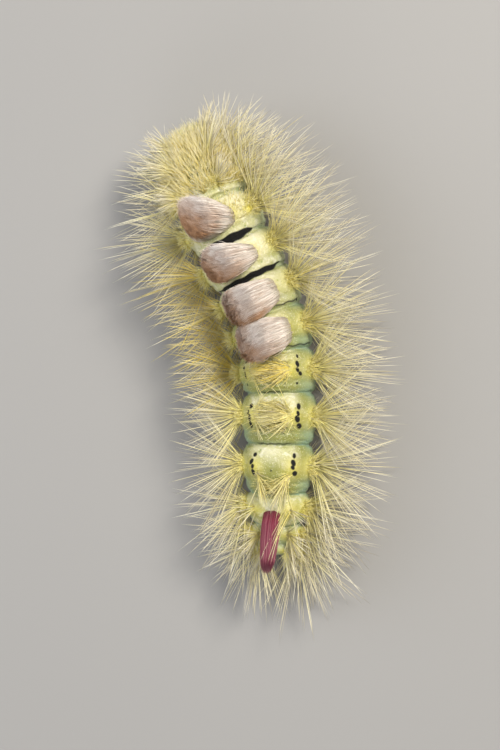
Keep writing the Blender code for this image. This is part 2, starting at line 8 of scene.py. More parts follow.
import bpy
import numpy as np
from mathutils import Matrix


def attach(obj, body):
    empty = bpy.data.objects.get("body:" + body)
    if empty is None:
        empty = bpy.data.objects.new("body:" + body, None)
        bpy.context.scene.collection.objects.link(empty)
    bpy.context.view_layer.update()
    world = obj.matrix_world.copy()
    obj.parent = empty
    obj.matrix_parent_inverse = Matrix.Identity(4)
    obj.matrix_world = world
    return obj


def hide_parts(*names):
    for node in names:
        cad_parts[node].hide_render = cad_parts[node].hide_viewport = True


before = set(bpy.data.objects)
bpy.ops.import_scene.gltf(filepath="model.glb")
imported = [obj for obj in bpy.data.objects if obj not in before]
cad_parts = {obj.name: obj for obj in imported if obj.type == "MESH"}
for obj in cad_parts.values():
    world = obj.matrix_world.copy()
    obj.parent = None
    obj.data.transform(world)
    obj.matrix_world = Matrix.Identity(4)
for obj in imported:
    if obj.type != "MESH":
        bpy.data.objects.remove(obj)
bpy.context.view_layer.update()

# The body's run. In life it is a soft tube of thin skin that the fluid inside keeps round, drawn in between
# thirteen segments by ring muscles. Its centre line, half sizes and turns are those of the solids: name,
# length, half width, half height, heading to the left of +Y, pitch of the head end up, roll to the left.
MM = 0.001
SEGMENTS = (
    ("abdomen_10", 1.5, 1.9, 1.75, -2, 12, 2),
    ("abdomen_9", 1.9, 2.45, 2.3, -2, 12, 3),
    ("abdomen_8", 3.1, 3.05, 2.9, -2, 8, 4),
    ("abdomen_7", 4.8, 3.5, 3.3, -1.4, 3, 2),
    ("abdomen_6", 5.0, 3.7, 3.5, -1.6, 0, 3),
    ("abdomen_5", 4.1, 3.8, 3.6, 3, 0, 7),
    ("abdomen_4", 4.0, 3.9, 3.7, 13, 2, 10),
    ("abdomen_3", 3.8, 4.0, 3.8, 23, 4, 12),
    ("abdomen_2", 4.05, 4.1, 3.9, 28, 6, 13),
    ("abdomen_1", 4.2, 4.0, 3.9, 27, 4, 12),
    ("thorax_3", 2.4, 3.7, 3.6, 24, -6, 10),
    ("thorax_2", 2.25, 3.3, 3.2, 22, -17, 8),
    ("thorax_1", 1.8, 2.7, 2.6, 20, -28, 6),
)
TAIL_END = np.array([2.86, -19.52, 3.45])
TAIL_DOME = 1.3  # the length over which the tail end rounds off
BELLY = 0.9  # the belly's depth as a share of the back's height
GROOVE = 0.13  # how far the body draws in at a segment's edges
CREASE = (-0.5, 0.12, 0.035)  # the fold on each segment: place, half width and depth
NAMES = [row[0] for row in SEGMENTS]
LENGTHS = np.array([row[1] for row in SEGMENTS])
EDGES = np.concatenate([[0.0], np.cumsum(LENGTHS)])
BODY_LENGTH = EDGES[-1]
STEP = 0.05
LINE_S = np.arange(0, BODY_LENGTH + STEP, STEP)


def smoothed(values, steps=20):
    """A running mean that keeps the ends."""
    padded = np.pad(values, steps, mode="edge")
    return np.convolve(padded, np.ones(2 * steps + 1) / (2 * steps + 1), mode="valid")


MIDDLES = (EDGES[:-1] + EDGES[1:]) / 2
COLUMNS = [smoothed(np.interp(LINE_S, MIDDLES, [row[k] for row in SEGMENTS])) for k in range(2, 7)]
HALF_WIDTH, HALF_HEIGHT, HEADING, PITCH, ROLL = COLUMNS


def axes_at_angles(heading, pitch, roll):
    """Forward, right and back directions for angles in degrees."""
    h, p, r = (np.radians(a)[..., None] for a in np.broadcast_arrays(heading, pitch, roll))
    forward = np.concatenate([-np.sin(h) * np.cos(p), np.cos(h) * np.cos(p), np.sin(p)], -1)
    level = np.concatenate([np.cos(h), np.sin(h), 0 * h], -1)
    up = np.cross(level, forward)
    right = level * np.cos(r) + up * np.sin(r)
    return forward, right, up * np.cos(r) - level * np.sin(r)


FORWARD, RIGHT, BACK = axes_at_angles(HEADING, PITCH, ROLL)
LINE = TAIL_END + np.cumsum(FORWARD * STEP, axis=0)


def along(s, table):
    """The rows of a table that is kept along the body's line, at the distances s from the tail."""
    return np.stack([np.interp(s, LINE_S, column) for column in table.T], axis=-1)


def unit(v):
    return v / np.linalg.norm(v, axis=-1, keepdims=True)


def bell(gap, half):
    """1 where the gap is none, and falling off smoothly to both sides."""
    return np.exp(-((gap / half) ** 2))


def half_width(s):
    return np.interp(s, LINE_S, HALF_WIDTH)


def segment_at(s):
    """Segment numbers, and the places in them from -1 at the hind edge to 1 at the front edge."""
    number = np.clip(np.searchsorted(EDGES, s) - 1, 0, len(NAMES) - 1)
    return number, 2 * (s - EDGES[number]) / LENGTHS[number] - 1


# Each segment bears warts in rows along both sides. For each row: its angle from the middle of the back, and
# the lift and radius of a wart.
WARTS = {
    "back": (33, 0.35, 0.75),
    "flank": (74, 0.55, 0.85),
    "spiracle": (112, 0.4, 0.75),
    "belly": (148, 0.25, 0.6),
}
WART_PLACE = 0.12  # a little ahead of the segment's middle
# A small bald one beside the first brush: distance, angle, lift, radius, and the body's half width there.
BARE_WART = (34.2, 57, 0.3, 0.5, 4)
STATIONS = EDGES[:-1] + LENGTHS * (1 + WART_PLACE) / 2
WART_SHARES = np.minimum(1.0, LENGTHS / 3.5)


def wart_field(s, angle, reach=1.0):
    """How high each row of warts stands at a place, as shares of its full lift."""
    number, _ = segment_at(s)
    wide = half_width(s)
    fields = {}
    for row, (at, _, size) in WARTS.items():
        ahead = (s - STATIONS[number]) / (size * reach * WART_SHARES[number])
        across = np.radians(abs(angle) - at) * wide / (size * reach)
        fields[row] = np.exp(-(ahead**2) - across**2)
    return fields


def bare_wart(s, angle):
    ahead = (s - BARE_WART[0]) / BARE_WART[3]
    across = np.radians(abs(angle) - BARE_WART[1]) * BARE_WART[4] / BARE_WART[3]
    return np.exp(-((ahead**2 + across**2) ** 2))


def skin_point(s, angle, out=0.0):
    """Points of the skin or out from it. Angles are in degrees from the back, positive on the right side."""
    s, angle, out = np.broadcast_arrays(np.asarray(s, float), angle, out)
    number, place = segment_at(s)
    at, half, depth = CREASE
    share = 1 - GROOVE * abs(place) ** 4 - depth * bell(place - at, half)
    share = share * np.sqrt(np.clip(1 - (1 - np.minimum(s / TAIL_DOME, 1)) ** 2, 0, None))
    fields = wart_field(s, angle)
    lift = sum(WARTS[row][1] * WART_SHARES[number] * fields[row] for row in WARTS)
    lift = lift + BARE_WART[2] * bare_wart(s, angle)
    a = np.radians(angle)
    wide = half_width(s) * share
    tall = np.interp(s, LINE_S, HALF_HEIGHT) * np.where(np.cos(a) > 0, 1, BELLY) * share
    right, back = along(s, RIGHT), along(s, BACK)
    sin, cos = np.sin(a)[..., None], np.cos(a)[..., None]
    oval = right * sin * wide[..., None] + back * cos * tall[..., None]
    return along(s, LINE) + oval + (right * sin + back * cos) * (lift + out)[..., None]


# The skin. One sheet of thin, slightly waxy cuticle covers the body and its ten fleshy prolegs. It is made as
# closed tubes for the body and each proleg, melted into one sheet, and then creased and puckered.
SKIN_RINGS, SKIN_SIDES = 240, 96
SHEET_GRAIN = 0.085
NECK = (0.5, 0.72)  # how far the sheet runs on into the head, and how much narrower it ends
PROLEGS = {  # by segment: how far its soles stand out, and where on it
    "abdomen_3": (0.35, 0.5),
    "abdomen_4": (0.35, 0.5),
    "abdomen_5": (0.35, 0.5),
    "abdomen_6": (0.35, 0.5),
    "abdomen_10": (0.3, 0.72),
}
PROLEG_ANGLE = 146
PROLEG_ROOT = 0.85
# From the sole up: height above the floor and half size, then how far up to the body and half size.
PROLEG_FOOT = ((0.0, 0.66), (0.14, 0.74), (0.32, 0.72), (0.42, 0.6), (0.55, 0.54))
PROLEG_SHANK = ((0.2, 0.56), (0.45, 0.66), (0.7, 0.76), (1.0, 0.85))


def tube(rings):
    """The points and faces of a closed tube through rings of equal count, which ends in two middle points."""
    rings = np.asarray(rings, float)
    count, sides = rings.shape[:2]
    points = np.concatenate([rings.reshape(-1, 3), [rings[0].mean(0), rings[-1].mean(0)]])
    faces = []
    for k in range(count - 1):
        for i in range(sides):
            j = (i + 1) % sides
            faces.append((k * sides + i, k * sides + j, (k + 1) * sides + j, (k + 1) * sides + i))
    last = (count - 1) * sides
    for i in range(sides):
        j = (i + 1) % sides
        faces.append((count * sides, j, i))
        faces.append((count * sides + 1, last + i, last + j))
    return points, faces


def joined(shapes):
    """Several shapes as the points and faces of one."""
    points, faces, start = [], [], 0
    for shape_points, shape_faces in shapes:
        points.append(shape_points)
        faces.extend(tuple(start + i for i in face) for face in shape_faces)
        start += len(shape_points)
    return np.concatenate(points), faces


def mesh_of(name, points, faces):
    """A smooth mesh in metres from points in millimetres."""
    mesh = bpy.data.meshes.new(name)
    mesh.from_pydata((np.asarray(points) * MM).tolist(), [], faces)
    mesh.update()
    mesh.shade_smooth()
    return mesh


def placed(name, shape, material, slot, *nodes):
    """A finished piece on the larva's one body, from a mesh or points and faces, in the place of solids."""
    mesh = mesh_of(name, *shape) if isinstance(shape, tuple) else shape
    piece = bpy.data.objects.new(name, mesh)
    bpy.context.scene.collection.objects.link(piece)
    mesh.materials.append(material)
    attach(piece, "root")
    if nodes:
        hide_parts(*nodes)


def within(name, share):
    """The distance from the tail of a place in a segment, 0 at its hind edge and 1 at its front edge."""
    number = NAMES.index(name)
    return EDGES[number] + LENGTHS[number] * share


def proleg_frame(name, side):
    """The place of a proleg on the body, the middle of its sole, and level directions ahead and outward."""
    outward, share = PROLEGS[name]
    s = within(name, share)
    ahead = unit(along(s, FORWARD) * [1, 1, 0])
    out = unit(along(s, RIGHT) * [1, 1, 0]) * side
    sole = (skin_point(s, side * PROLEG_ANGLE, 0.3) + out * outward) * [1, 1, 0]
    return s, sole, ahead, out


def proleg(name, side):
    """A fleshy leg: a shank that grows out of the body, an ankle fold, and a foot with a flat sole."""
    s, sole, ahead, out = proleg_frame(name, side)
    turn = np.linspace(0, 2 * math.pi, 28, endpoint=False)[:, None]
    rings = []
    for height, half in PROLEG_FOOT:
        rings.append(sole + [0, 0, height] + (ahead * np.cos(turn) + out * np.sin(turn)) * half)
    ankle = rings[-1]
    spread = math.degrees(PROLEG_ROOT / half_width(s))
    t = turn[:, 0]
    top_s, top_angle = s + PROLEG_ROOT * np.cos(t), side * (PROLEG_ANGLE - spread * np.sin(t))
    top = skin_point(top_s, top_angle, 0.05)
    for share, half in PROLEG_SHANK:
        middle = ankle.mean(0) * (1 - share) + top.mean(0) * share
        ring = (ankle - ankle.mean(0)) / PROLEG_FOOT[-1][1] * (1 - share)
        ring = ring + (top - top.mean(0)) / PROLEG_ROOT * share
        rings.append(middle + ring * half)
    rings.append(skin_point(top_s, top_angle, -0.9))
    return tube(rings)


def melted(points, faces, grain, smoothing):
    """One even sheet around overlapping closed shapes: points in millimetres, ways out of it, and faces."""
    mesh = bpy.data.meshes.new("melting")
    mesh.from_pydata(points.tolist(), [], faces)
    lump = bpy.data.objects.new("melting", mesh)
    bpy.context.scene.collection.objects.link(lump)
    remesh = lump.modifiers.new("melt", "REMESH")
    remesh.mode = "VOXEL"
    remesh.voxel_size = grain
    smooth = lump.modifiers.new("smooth", "SMOOTH")
    smooth.factor = 0.5
    smooth.iterations = smoothing
    graph = bpy.context.evaluated_depsgraph_get()
    sheet = bpy.data.meshes.new_from_object(lump.evaluated_get(graph))
    bpy.data.objects.remove(lump)
    found = []
    for what in ("co", "normal"):
        values = np.empty(len(sheet.vertices) * 3, np.float32)
        sheet.vertices.foreach_get(what, values)
        found.append(values.reshape(-1, 3).astype(float))
    faces = [tuple(face.vertices) for face in sheet.polygons]
    bpy.data.meshes.remove(sheet)
    return *found, faces


ring_s = np.concatenate([[0.02, 0.08], np.linspace(0.16, BODY_LENGTH, SKIN_RINGS)])
ring_angles = np.linspace(0, 360, SKIN_SIDES, endpoint=False)
ring_angles = np.where(ring_angles > 180, ring_angles - 360, ring_angles)
rings = list(skin_point(ring_s[:, None], ring_angles))
neck_end = along(BODY_LENGTH, LINE)
rings.append(neck_end + along(BODY_LENGTH, FORWARD) * NECK[0] + (rings[-1] - neck_end) * NECK[1])
body_shapes = [tube(rings)]
for name in PROLEGS:
    body_shapes += [proleg(name, 1), proleg(name, -1)]
skin, skin_out, skin_faces = melted(*joined(body_shapes), SHEET_GRAIN, 3)

# The creases that the ring muscles pull: at the edges, then thinner ones within each segment, which waver.
EDGE_CREASE = (0.16, 0.15)  # depth and half width
RING_CREASES = ((-0.8, 0.06), (-0.58, 0.055), (-0.3, 0.05), (0.45, 0.035), (0.76, 0.05))  # place and depth
RING_CREASE_HALF = 0.1
FLANK_CREASES = ((93, 0.1, 3.2), (129, 0.09, 3.0))  # angle, depth and half width in degrees


def body_place(points):
    """Where points lie on the body: distance from the tail, angle from the back and height over the skin."""
    coarse = LINE[::8]
    s = np.empty(len(points))
    for start in range(0, len(points), 4000):
        block = slice(start, start + 4000)
        apart = ((points[block, None] - coarse) ** 2).sum(-1)
        s[block] = LINE_S[::8][apart.argmin(1)]
    for _ in range(4):
        s = np.clip(s + ((points - along(s, LINE)) * along(s, FORWARD)).sum(-1), 0, BODY_LENGTH)
    offset = points - along(s, LINE)
    angle = np.degrees(np.arctan2((offset * along(s, RIGHT)).sum(-1), (offset * along(s, BACK)).sum(-1)))
    reach = np.linalg.norm(skin_point(s, angle) - along(s, LINE), axis=-1)
    return s, angle, np.linalg.norm(offset, axis=-1) - reach


s, angle, height = body_place(skin)
number, place = segment_at(s)
on_body = np.clip(1 - (height - 0.1) / 0.25, 0, 1)
waver = 0.05 * np.sin(np.radians(angle * 5) + number * 2.1) + 0.03 * np.sin(np.radians(angle * 13) + number)
edge_gap = np.abs(s[:, None] + waver[:, None] - EDGES[1:-1]).min(1)
pucker = -EDGE_CREASE[0] * bell(edge_gap, EDGE_CREASE[1])
for at, depth in RING_CREASES:
    gap = (place - at) * LENGTHS[number] / 2 + waver * 3
    strength = 0.55 + 0.45 * np.sin(np.radians(angle * 2.3) + at * 9 + number * 1.7)
    pucker -= depth * strength * bell(gap, RING_CREASE_HALF)
for at, depth, half in FLANK_CREASES:
    gap = abs(angle) - at + 4 * np.sin(s * 2.2)
    pucker -= depth * (1 - place**4 * 0.6) * bell(gap, half)
skin = skin + skin_out * (pucker * on_body)[:, None]
skin[:, 2] = np.maximum(skin[:, 2], 0.0)

# Where the skin's markings lie. The back is cream to lemon, the flanks and folds are blue-green, and the
# creases behind the first two brushes open to show black velvet. Small black spots run beside the back.
VELVET = {  # by segment: how far from its hind edge, the angle it reaches, half width, and share at the left
    "abdomen_1": (0.24, 58, 0.44, 0.85),
    "abdomen_2": (0.16, 76, 0.31, 0.35),
}
FINE_LINES = {"abdomen_3": (0.3, 31, 78), "abdomen_4": (0.35, 31, 84)}  # from the hind edge, and its angles
CREASE_LINES = {"abdomen_5": 26, "abdomen_6": 42, "abdomen_7": 24}  # how far round the hind crease is dark
SPOTS = {  # by segment: angle, then the place and radius of each spot
    "abdomen_5": (46, ((0.68, 0.14), (0.34, 0.23), (0.08, 0.2), (-0.1, 0.19), (-0.54, 0.11))),
    "abdomen_6": (41, ((0.5, 0.24), (0.24, 0.2), (0.03, 0.29), (-0.24, 0.26))),
    "abdomen_7": (35, ((0.6, 0.2), (0.32, 0.25), (0.14, 0.18), (-0.1, 0.24))),
}
MIDDLE_SPOT = 2.4  # a faint one in the middle of abdomen_7's back, from its hind edge
SPIRACLE_ANGLE = 95
SPIRACLES = (*NAMES[2:10], "thorax_1")


def ramp(value, low, high):
    """0 below low, 1 above high, and smooth between them."""
    t = np.clip((value - low) / (high - low), 0, 1)
    return t * t * (3 - 2 * t)


def markings(s, angle):
    """Shares of each marking at places on the skin."""
    number, place = segment_at(s)
    wide = half_width(s)
    marks = {"velvet": np.zeros(s.shape), "spot": np.zeros(s.shape)}

    def darken(mark, share):
        marks[mark] = np.maximum(marks[mark], share)

    for name, (ahead, reach, half, left) in VELVET.items():
        lens = half * np.sqrt(np.clip(1 - (angle / reach) ** 2, 0, 1))
        lens = lens * (left + (1 - left) * ramp(angle, -reach, 0))
        rough = 0.04 * np.sin(angle * 0.24) + 0.03 * np.sin(angle * 0.13 + 1)
        gap = abs(s - within(name, 0) - ahead + rough) - lens
        darken("velvet", 1 - ramp(gap, -0.05, 0.06))
    for name, (ahead, low, high) in FINE_LINES.items():
        beyond = s - within(name, 0) - ahead
        inside = ramp(abs(angle), low, low + 4) * (1 - ramp(abs(angle), high - 4, high))
        darken("velvet", (1 - ramp(abs(beyond + 0.05 * np.sin(angle * 0.3)), 0.0, 0.13)) * inside * 0.95)
        darken("spot", 1 - ramp(np.hypot(beyond, np.radians(abs(angle) - high) * wide), 0.1, 0.2))
    for name, reach in CREASE_LINES.items():
        gap = abs(s - within(name, 0) - 0.1 + 0.04 * np.sin(angle * 0.4))
        darken("velvet", (1 - ramp(gap, 0.0, 0.16)) * (1 - ramp(abs(angle), reach * 0.6, reach)) * 0.75)
    for name, (at, spots) in SPOTS.items():
        for k, (spot_place, radius) in enumerate(spots):
            for side in (1, -1):
                ahead = s - within(name, (1 + spot_place) / 2)
                across = np.radians(angle - side * (at + 3 * math.sin(k * 2.3 + side))) * wide
                dent = 1 + 0.12 * np.sin(2 * np.arctan2(across, ahead) + k + side)
                gap = np.hypot(ahead, across * 1.05) / (1.15 * radius * dent)
                darken("spot", 1 - ramp(gap, 0.85, 1.2))
    gap = np.hypot(s - within("abdomen_7", 0) - MIDDLE_SPOT, np.radians(angle + 2) * wide)
    darken("spot", (1 - ramp(gap, 0.06, 0.16)) * 0.8)
    warts = wart_field(s, angle, reach=1.25)
    marks["wart"] = warts["back"] * 0.8 + warts["flank"] + warts["spiracle"] + warts["belly"]
    marks["wart"] = np.clip(marks["wart"] + 0.6 * bare_wart(s, angle), 0, 1)
    fold = np.maximum(ramp(abs(place), 0.72, 1.0), bell(place + 0.5, 0.16) * 0.45)
    rear = (1 - ramp(place, -0.9, 0.1)) * (number < 7)
    flank = ramp(abs(angle) + 16 * rear, 48, 90)
    belly = ramp(abs(angle), 120, 165)
    teal = flank * (0.8 + 0.3 * fold) + fold * np.where(place < 0, 0.35, 0.12) - belly * 0.3
    marks["teal"] = np.clip(teal, 0, 1) * (1 - 0.75 * marks["wart"]) * np.where(number < 7, 1, 0.6)
    front = 0.35 + 0.65 * ramp(number, 5.5, 8)
    marks["cream"] = ramp(place, -0.3, 0.5) * (1 - ramp(place, 0.75, 1.0)) * (1 - ramp(abs(angle), 35, 85))
    marks["cream"] = marks["cream"] * front + 0.45 * (number > 6) * (1 - fold)
    # On abdomen_7 to abdomen_4 the skin turns darker olive everywhere but the front of each segment's back.
    # This is partly the skin's own olive, and partly painted shade for the shadow that the brushes and the
    # hair over it cast.
    marks["olive"] = 1 - ramp(place, -0.1, 0.7) * (1 - ramp(abs(angle), 28, 60))
    marks["olive"] *= ramp(number, 2, 3) * (1 - ramp(number, 6, 8)) * (1 - marks["wart"])
    tail = 1 - ramp(s, 2.0, 4.5)
    marks["cream"] *= 1 - tail
    marks["teal"] = np.maximum(marks["teal"], 0.45 * tail)
    rim = np.full(s.shape, 9.0)
    for name in SPIRACLES:
        ahead = s - STATIONS[NAMES.index(name)]
        across = np.radians(abs(angle) - SPIRACLE_ANGLE) * wide
        rim = np.minimum(rim, np.hypot(ahead / 0.14, across / 0.22))
    marks["spiracle"] = bell(rim - 1, 0.28) + 0.5 * (rim < 0.8)
    return marks


def store(mesh, name, values):
    """Keeps a number for each point of a mesh, for its material to read."""
    attribute = mesh.attributes.new(name, "FLOAT", "POINT")
    attribute.data.foreach_set("value", np.asarray(values, np.float32))


def linear(hex_colour):
    """An sRGB hex colour as linear red, green, blue and alpha."""
    parts = [int(hex_colour[i:i + 2], 16) / 255 for i in (1, 3, 5)]
    return (*[c / 12.92 if c <= 0.04045 else ((c + 0.055) / 1.055) ** 2.4 for c in parts], 1.0)


def add(tree, kind, settings={}, links={}):
    """A shader node with settings, fed by outputs, by nodes' first outputs or by mesh attributes' names."""
    node = tree.nodes.new("ShaderNode" + kind)
    for name, value in settings.items():
        if isinstance(name, str) and hasattr(node, name):
            setattr(node, name, value)
        else:
            node.inputs[name].default_value = value
    for name, source in links.items():
        if isinstance(source, str):
            source = add(tree, "Attribute", {"attribute_name": source}).outputs["Fac"]
        if isinstance(source, bpy.types.Node):
            source = source.outputs[0]
        tree.links.new(source, node.inputs[name])
    return node


def surface_of(material):
    """The inputs of a material's one principled shader."""
    return material.node_tree.nodes["Principled BSDF"].inputs


def new_material(name, settings):
    made = bpy.data.materials.new(name)
    made.use_nodes = True
    for socket, value in settings.items():
        surface_of(made)[socket].default_value = value
    return made


def textured(tree, table):
    """Places on the object, and shares from textures on it.

    Each row: the kind of texture, its size in millimetres, its detail, its values where the share is none and
    where it is at its most, and that most.
    """
    where = add(tree, "TexCoord").outputs["Object"]
    shares = {}
    for name, (kind, size, detail, none, most, share) in table.items():
        texture = add(tree, kind, {"Scale": 1 / (size * MM), "Detail": detail}, {"Vector": where})
        shares[name] = add(tree, "MapRange", {1: none, 2: most, 4: share}, {0: texture})
    return where, shares


def roughen(material, height, strength, depth):
    """Gives a material's surface a relief of this depth in millimetres."""
    bump = add(material.node_tree, "Bump", {"Strength": strength, "Distance": depth * MM}, {"Height": height})
    material.node_tree.links.new(bump.outputs[0], surface_of(material)["Normal"])


def paint(material, base, layers, shares=()):
    """Colours a material, with layers over its base. Each lies where a node's share or an attribute says."""
    links = {}
    for name, colour in layers.items():
        links[0] = shares[name] if name in shares else name
        colours = {"data_type": "RGBA", 6: linear(base), 7: linear(colour)}
        links[6] = add(material.node_tree, "Mix", colours, links).outputs[2]
    material.node_tree.links.new(links[6], surface_of(material)["Base Color"])


# Live cuticle, about a tenth of a millimetre thick over green body fluid: light sinks in a little, and the
# waxy surface gives soft, wet-looking highlights. The fine grain is the skin's own, 0.12 mm across.
cuticle = new_material("larval_cuticle", {
    "Subsurface Weight": 0.2,
    "Subsurface Radius": (0.9, 1.0, 0.45),
    "Subsurface Scale": 0.5 * MM,
})
tree = cuticle.node_tree
where, shares = textured(tree, {
    "green_blotch": ("TexNoise", 1.4, 3, 0.55, 0.3, 0.45),
    "pale_blotch": ("TexNoise", 1.4, 3, 0.42, 0.68, 0.55),
    "patch": ("TexNoise", 0.6, 4, 0.53, 0.63, 0.6),
    "speck": ("TexVoronoi", 0.22, 0, 0.34, 0.12, 0.5),
    "pit": ("TexVoronoi", 0.75, 0, 0.17, 0.1, 0.75),
})
paint(cuticle, "#B1AE68", {
    "green_blotch": "#94A062",
    "cream": "#D8D4B2",
    "pale_blotch": "#DEDABE",
    "patch": "#E6E3CF",
    # darker olive over the rear of the back, partly painted shade where the brushes and hair cast shadow
    "olive": "#8C8D46",
    "speck": "#EFEBC9",
    "pit": "#7F8F4C",
    "teal": "#8CA58B",
    "wart": "#CBBF52",
    "spiracle": "#5E5638",
    "spot": "#12110E",
    "velvet": "#0B0A0B",
}, shares)
dark = add(tree, "Math", {"operation": "MAXIMUM"}, {0: "velvet", 1: "spot"})
dull = add(tree, "MapRange", {3: 0.34, 4: 0.95}, {0: dark})
tree.links.new(dull.outputs[0], surface_of(cuticle)["Roughness"])
grain = add(tree, "TexNoise", {"Scale": 1 / (0.12 * MM), "Detail": 2}, {"Vector": where})
pores = add(tree, "TexVoronoi", {"Scale": 1 / (0.35 * MM)}, {"Vector": where})
relief = add(tree, "Math", {"operation": "MULTIPLY_ADD", 1: 0.6}, {0: pores, 2: grain})
roughen(cuticle, relief, 1.0, 0.07)

skin_mesh = mesh_of("skin", skin, skin_faces)
for name, values in markings(s, angle).items():
    store(skin_mesh, name, values * (1 if name == "teal" else on_body))
feet = ("proleg_3", "proleg_4", "proleg_5", "proleg_6", "anal_proleg")
flesh_nodes = NAMES + [f"{foot}_{side}" for foot in feet for side in ("left", "right")]
placed("skin", skin_mesh, cuticle, "skin", *flesh_nodes)

# The six thoracic legs. Each is a short limb of three joints that narrow downward, with a harder, yellower
# shell than the skin, and a single brown claw. The claws hang just above the floor.
LEG_ANGLE = 140
LEG_LINKS = (0.85, 0.85, 0.8)
LEG_HALVES = (0.62, 0.55, 0.43, 0.33, 0.2)  # inside the body, at its skin, and at knee, shin and claw
LEG_END = 3.35  # the shell ends a third of the way from the shin to the claw
LEG_FOLDS = ((1.1, 0.12, 0.2), (2, 0.1, 0.2), (3, 0.08, 0.22))  # where it draws in: place, half width, depth
CLAW_CLEARANCE = 0.1


def skin_normal(s, angle):
    ahead = skin_point(s + 0.2, angle) - skin_point(s - 0.2, angle)
    across = skin_point(s, angle + 4) - skin_point(s, angle - 4)
    return unit(np.cross(across, ahead))


def limb(line, halves, sides=16):
    """A tube around a bent line, with one half size for each of its points."""
    line = np.asarray(line, float)
    ahead = unit(np.gradient(line, axis=0))
    across = unit(np.cross(ahead, [0.31, 0.17, 0.93]))
    deep = np.cross(ahead, across)
    turn = np.linspace(0, 2 * math.pi, sides, endpoint=False)
    circle = across[:, None] * np.cos(turn)[:, None] + deep[:, None] * np.sin(turn)[:, None]
    return tube(line[:, None] + circle * np.asarray(halves, float)[:, None, None])


def eased(values, count, window=5):
    """Rows of values drawn out to more rows, with their corners rounded."""
    values = np.asarray(values, float)
    at = np.linspace(0, len(values) - 1, count * 4)
    columns = [smoothed(np.interp(at, range(len(values)), column), window) for column in values.T]
    return np.stack(columns, axis=-1)[::4]


# Leg shell, thin hardened cuticle that still lets some light in, and claw horn, which is solid brown chitin.
leg_shell = new_material("leg_cuticle", {
    "Base Color": linear("#BFC07A"),
    "Roughness": 0.35,
    "Subsurface Weight": 0.15,
    "Subsurface Radius": (0.8, 0.9, 0.4),
    "Subsurface Scale": 0.3 * MM,
})
claw_horn = new_material("claw_horn", {"Base Color": linear("#5B3A1B"), "Roughness": 0.28})
for name in ("thorax_1", "thorax_2", "thorax_3"):
    for side, word in ((1, "right"), (-1, "left")):
        s = within(name, 0.5)
        forward, right = along(s, FORWARD), along(s, RIGHT)
        middle = skin_point(s, side * LEG_ANGLE, 0.3)
        out = unit(skin_normal(s, side * LEG_ANGLE) * 0.75 + right * side * 0.35)
        down = np.array([0, 0, -1.0])
        # The limb goes outward to the knee, then down and outward, and at last down and a little inward.
        knee = middle + out * LEG_LINKS[0] + forward * 0.15
        shin = knee + unit(out * 0.55 + down + forward * 0.3) * LEG_LINKS[1]
        claw = shin + unit(down * 1.2 - right * side * 0.4 + forward * 0.35) * LEG_LINKS[2]
        joints = np.array([middle - out * 0.7, middle, knee, shin, claw])
        drop = min(1.0, (middle[2] - CLAW_CLEARANCE) / (middle[2] - claw[2]))
        joints[:, 2] = middle[2] + (joints[:, 2] - middle[2]) * drop
        at = np.linspace(0, LEG_END, 30)
        line = np.stack([np.interp(at, range(5), column) for column in joints.T], axis=-1)
        halves = np.interp(at, range(5), LEG_HALVES)
        for fold_at, half, depth in LEG_FOLDS:
            halves = halves * (1 - depth * bell(at - fold_at, half))
        node = f"leg_{name[-1]}_{word}"
        placed(f"{node}_shell", limb(line, halves), leg_shell, "skin", node)
        # The claw starts inside the shell's end and bows a little outward.
        hook = [joints[3] * 0.7 + joints[4] * 0.3, joints[3] * 0.35 + joints[4] * 0.65, joints[4]]
        hook[1] = hook[1] + out * 0.06
        claw_shape = limb(eased(hook, 9, 2), np.linspace(0.15, 0.015, 9), 10)
        placed(f"claw_{name[-1]}_{word}", claw_shape, claw_horn, "skin")

# Crochets, the rows of tiny brown hooks on the inner rim of each proleg's sole, with which it grips.
CROCHETS = 18
HOOK = ((0.6, 0.16, 0.035), (0.78, 0.12, 0.03), (0.76, 0.02, 0.008))  # how far out, height and half size
hooks = []
for name in PROLEGS:
    for side in (1, -1):
        s, sole, ahead, out = proleg_frame(name, side)
        for turn in np.linspace(-0.42 * math.pi, 0.42 * math.pi, CROCHETS):
            way = -out * math.cos(turn) + ahead * math.sin(turn)
            line = [sole + way * outward + [0, 0, height] for outward, height, _ in HOOK]
            hooks.append(limb(line, [half for _, _, half in HOOK], 5))
placed("crochets", joined(hooks), claw_horn, "skin")

# The head. A hard, round capsule of two lobes with a groove between them, and a triangular plate over the
# mouth. It is tucked down in front of the thorax. Its rings go from the neck to the face, each with its place
# ahead, its half size and its drop.
HEAD_ANGLES = (20, -36, 5)  # heading, pitch and roll
HEAD_MIDDLE = 1.2  # how far ahead of the neck its middle lies
HEAD_RINGS = ((0.3, 1.15, 0.0), (0.45, 1.4, 0.0), (0.8, 1.85, 0.0), (1.3, 2.0, 0.05), (1.85, 1.85, 0.12),
              (2.3, 1.5, 0.22), (2.6, 0.95, 0.35), (2.72, 0.45, 0.39), (2.74, 0.05, 0.4))
LOBE_GROOVE = (0.09, 14)  # depth as a share of the capsule's size, and half width in degrees
SUTURE = (0.07, 0.055)  # depth and half width of the seams that part the lobes and frame the plate
PLATE = (0.35, 0.42)  # how high over the face's middle its top lies, and how fast it widens downward
head_forward, head_right, head_back = axes_at_angles(*HEAD_ANGLES)
head_middle = neck_end + head_forward * HEAD_MIDDLE


def seam_share(ahead, half, angle):
    """How near a place of the capsule is to its seams, which run like an upside-down Y down the face."""
    aside = abs(half * np.sin(np.radians(angle)))
    above = half * np.cos(np.radians(angle)) - PLATE[0]
    legs = abs(aside + PLATE[1] * above) + 9 * (1 - ramp(ahead, 1.3, 1.7))
    gap = np.where(above > 0, aside, legs)
    return bell(gap, SUTURE[1])


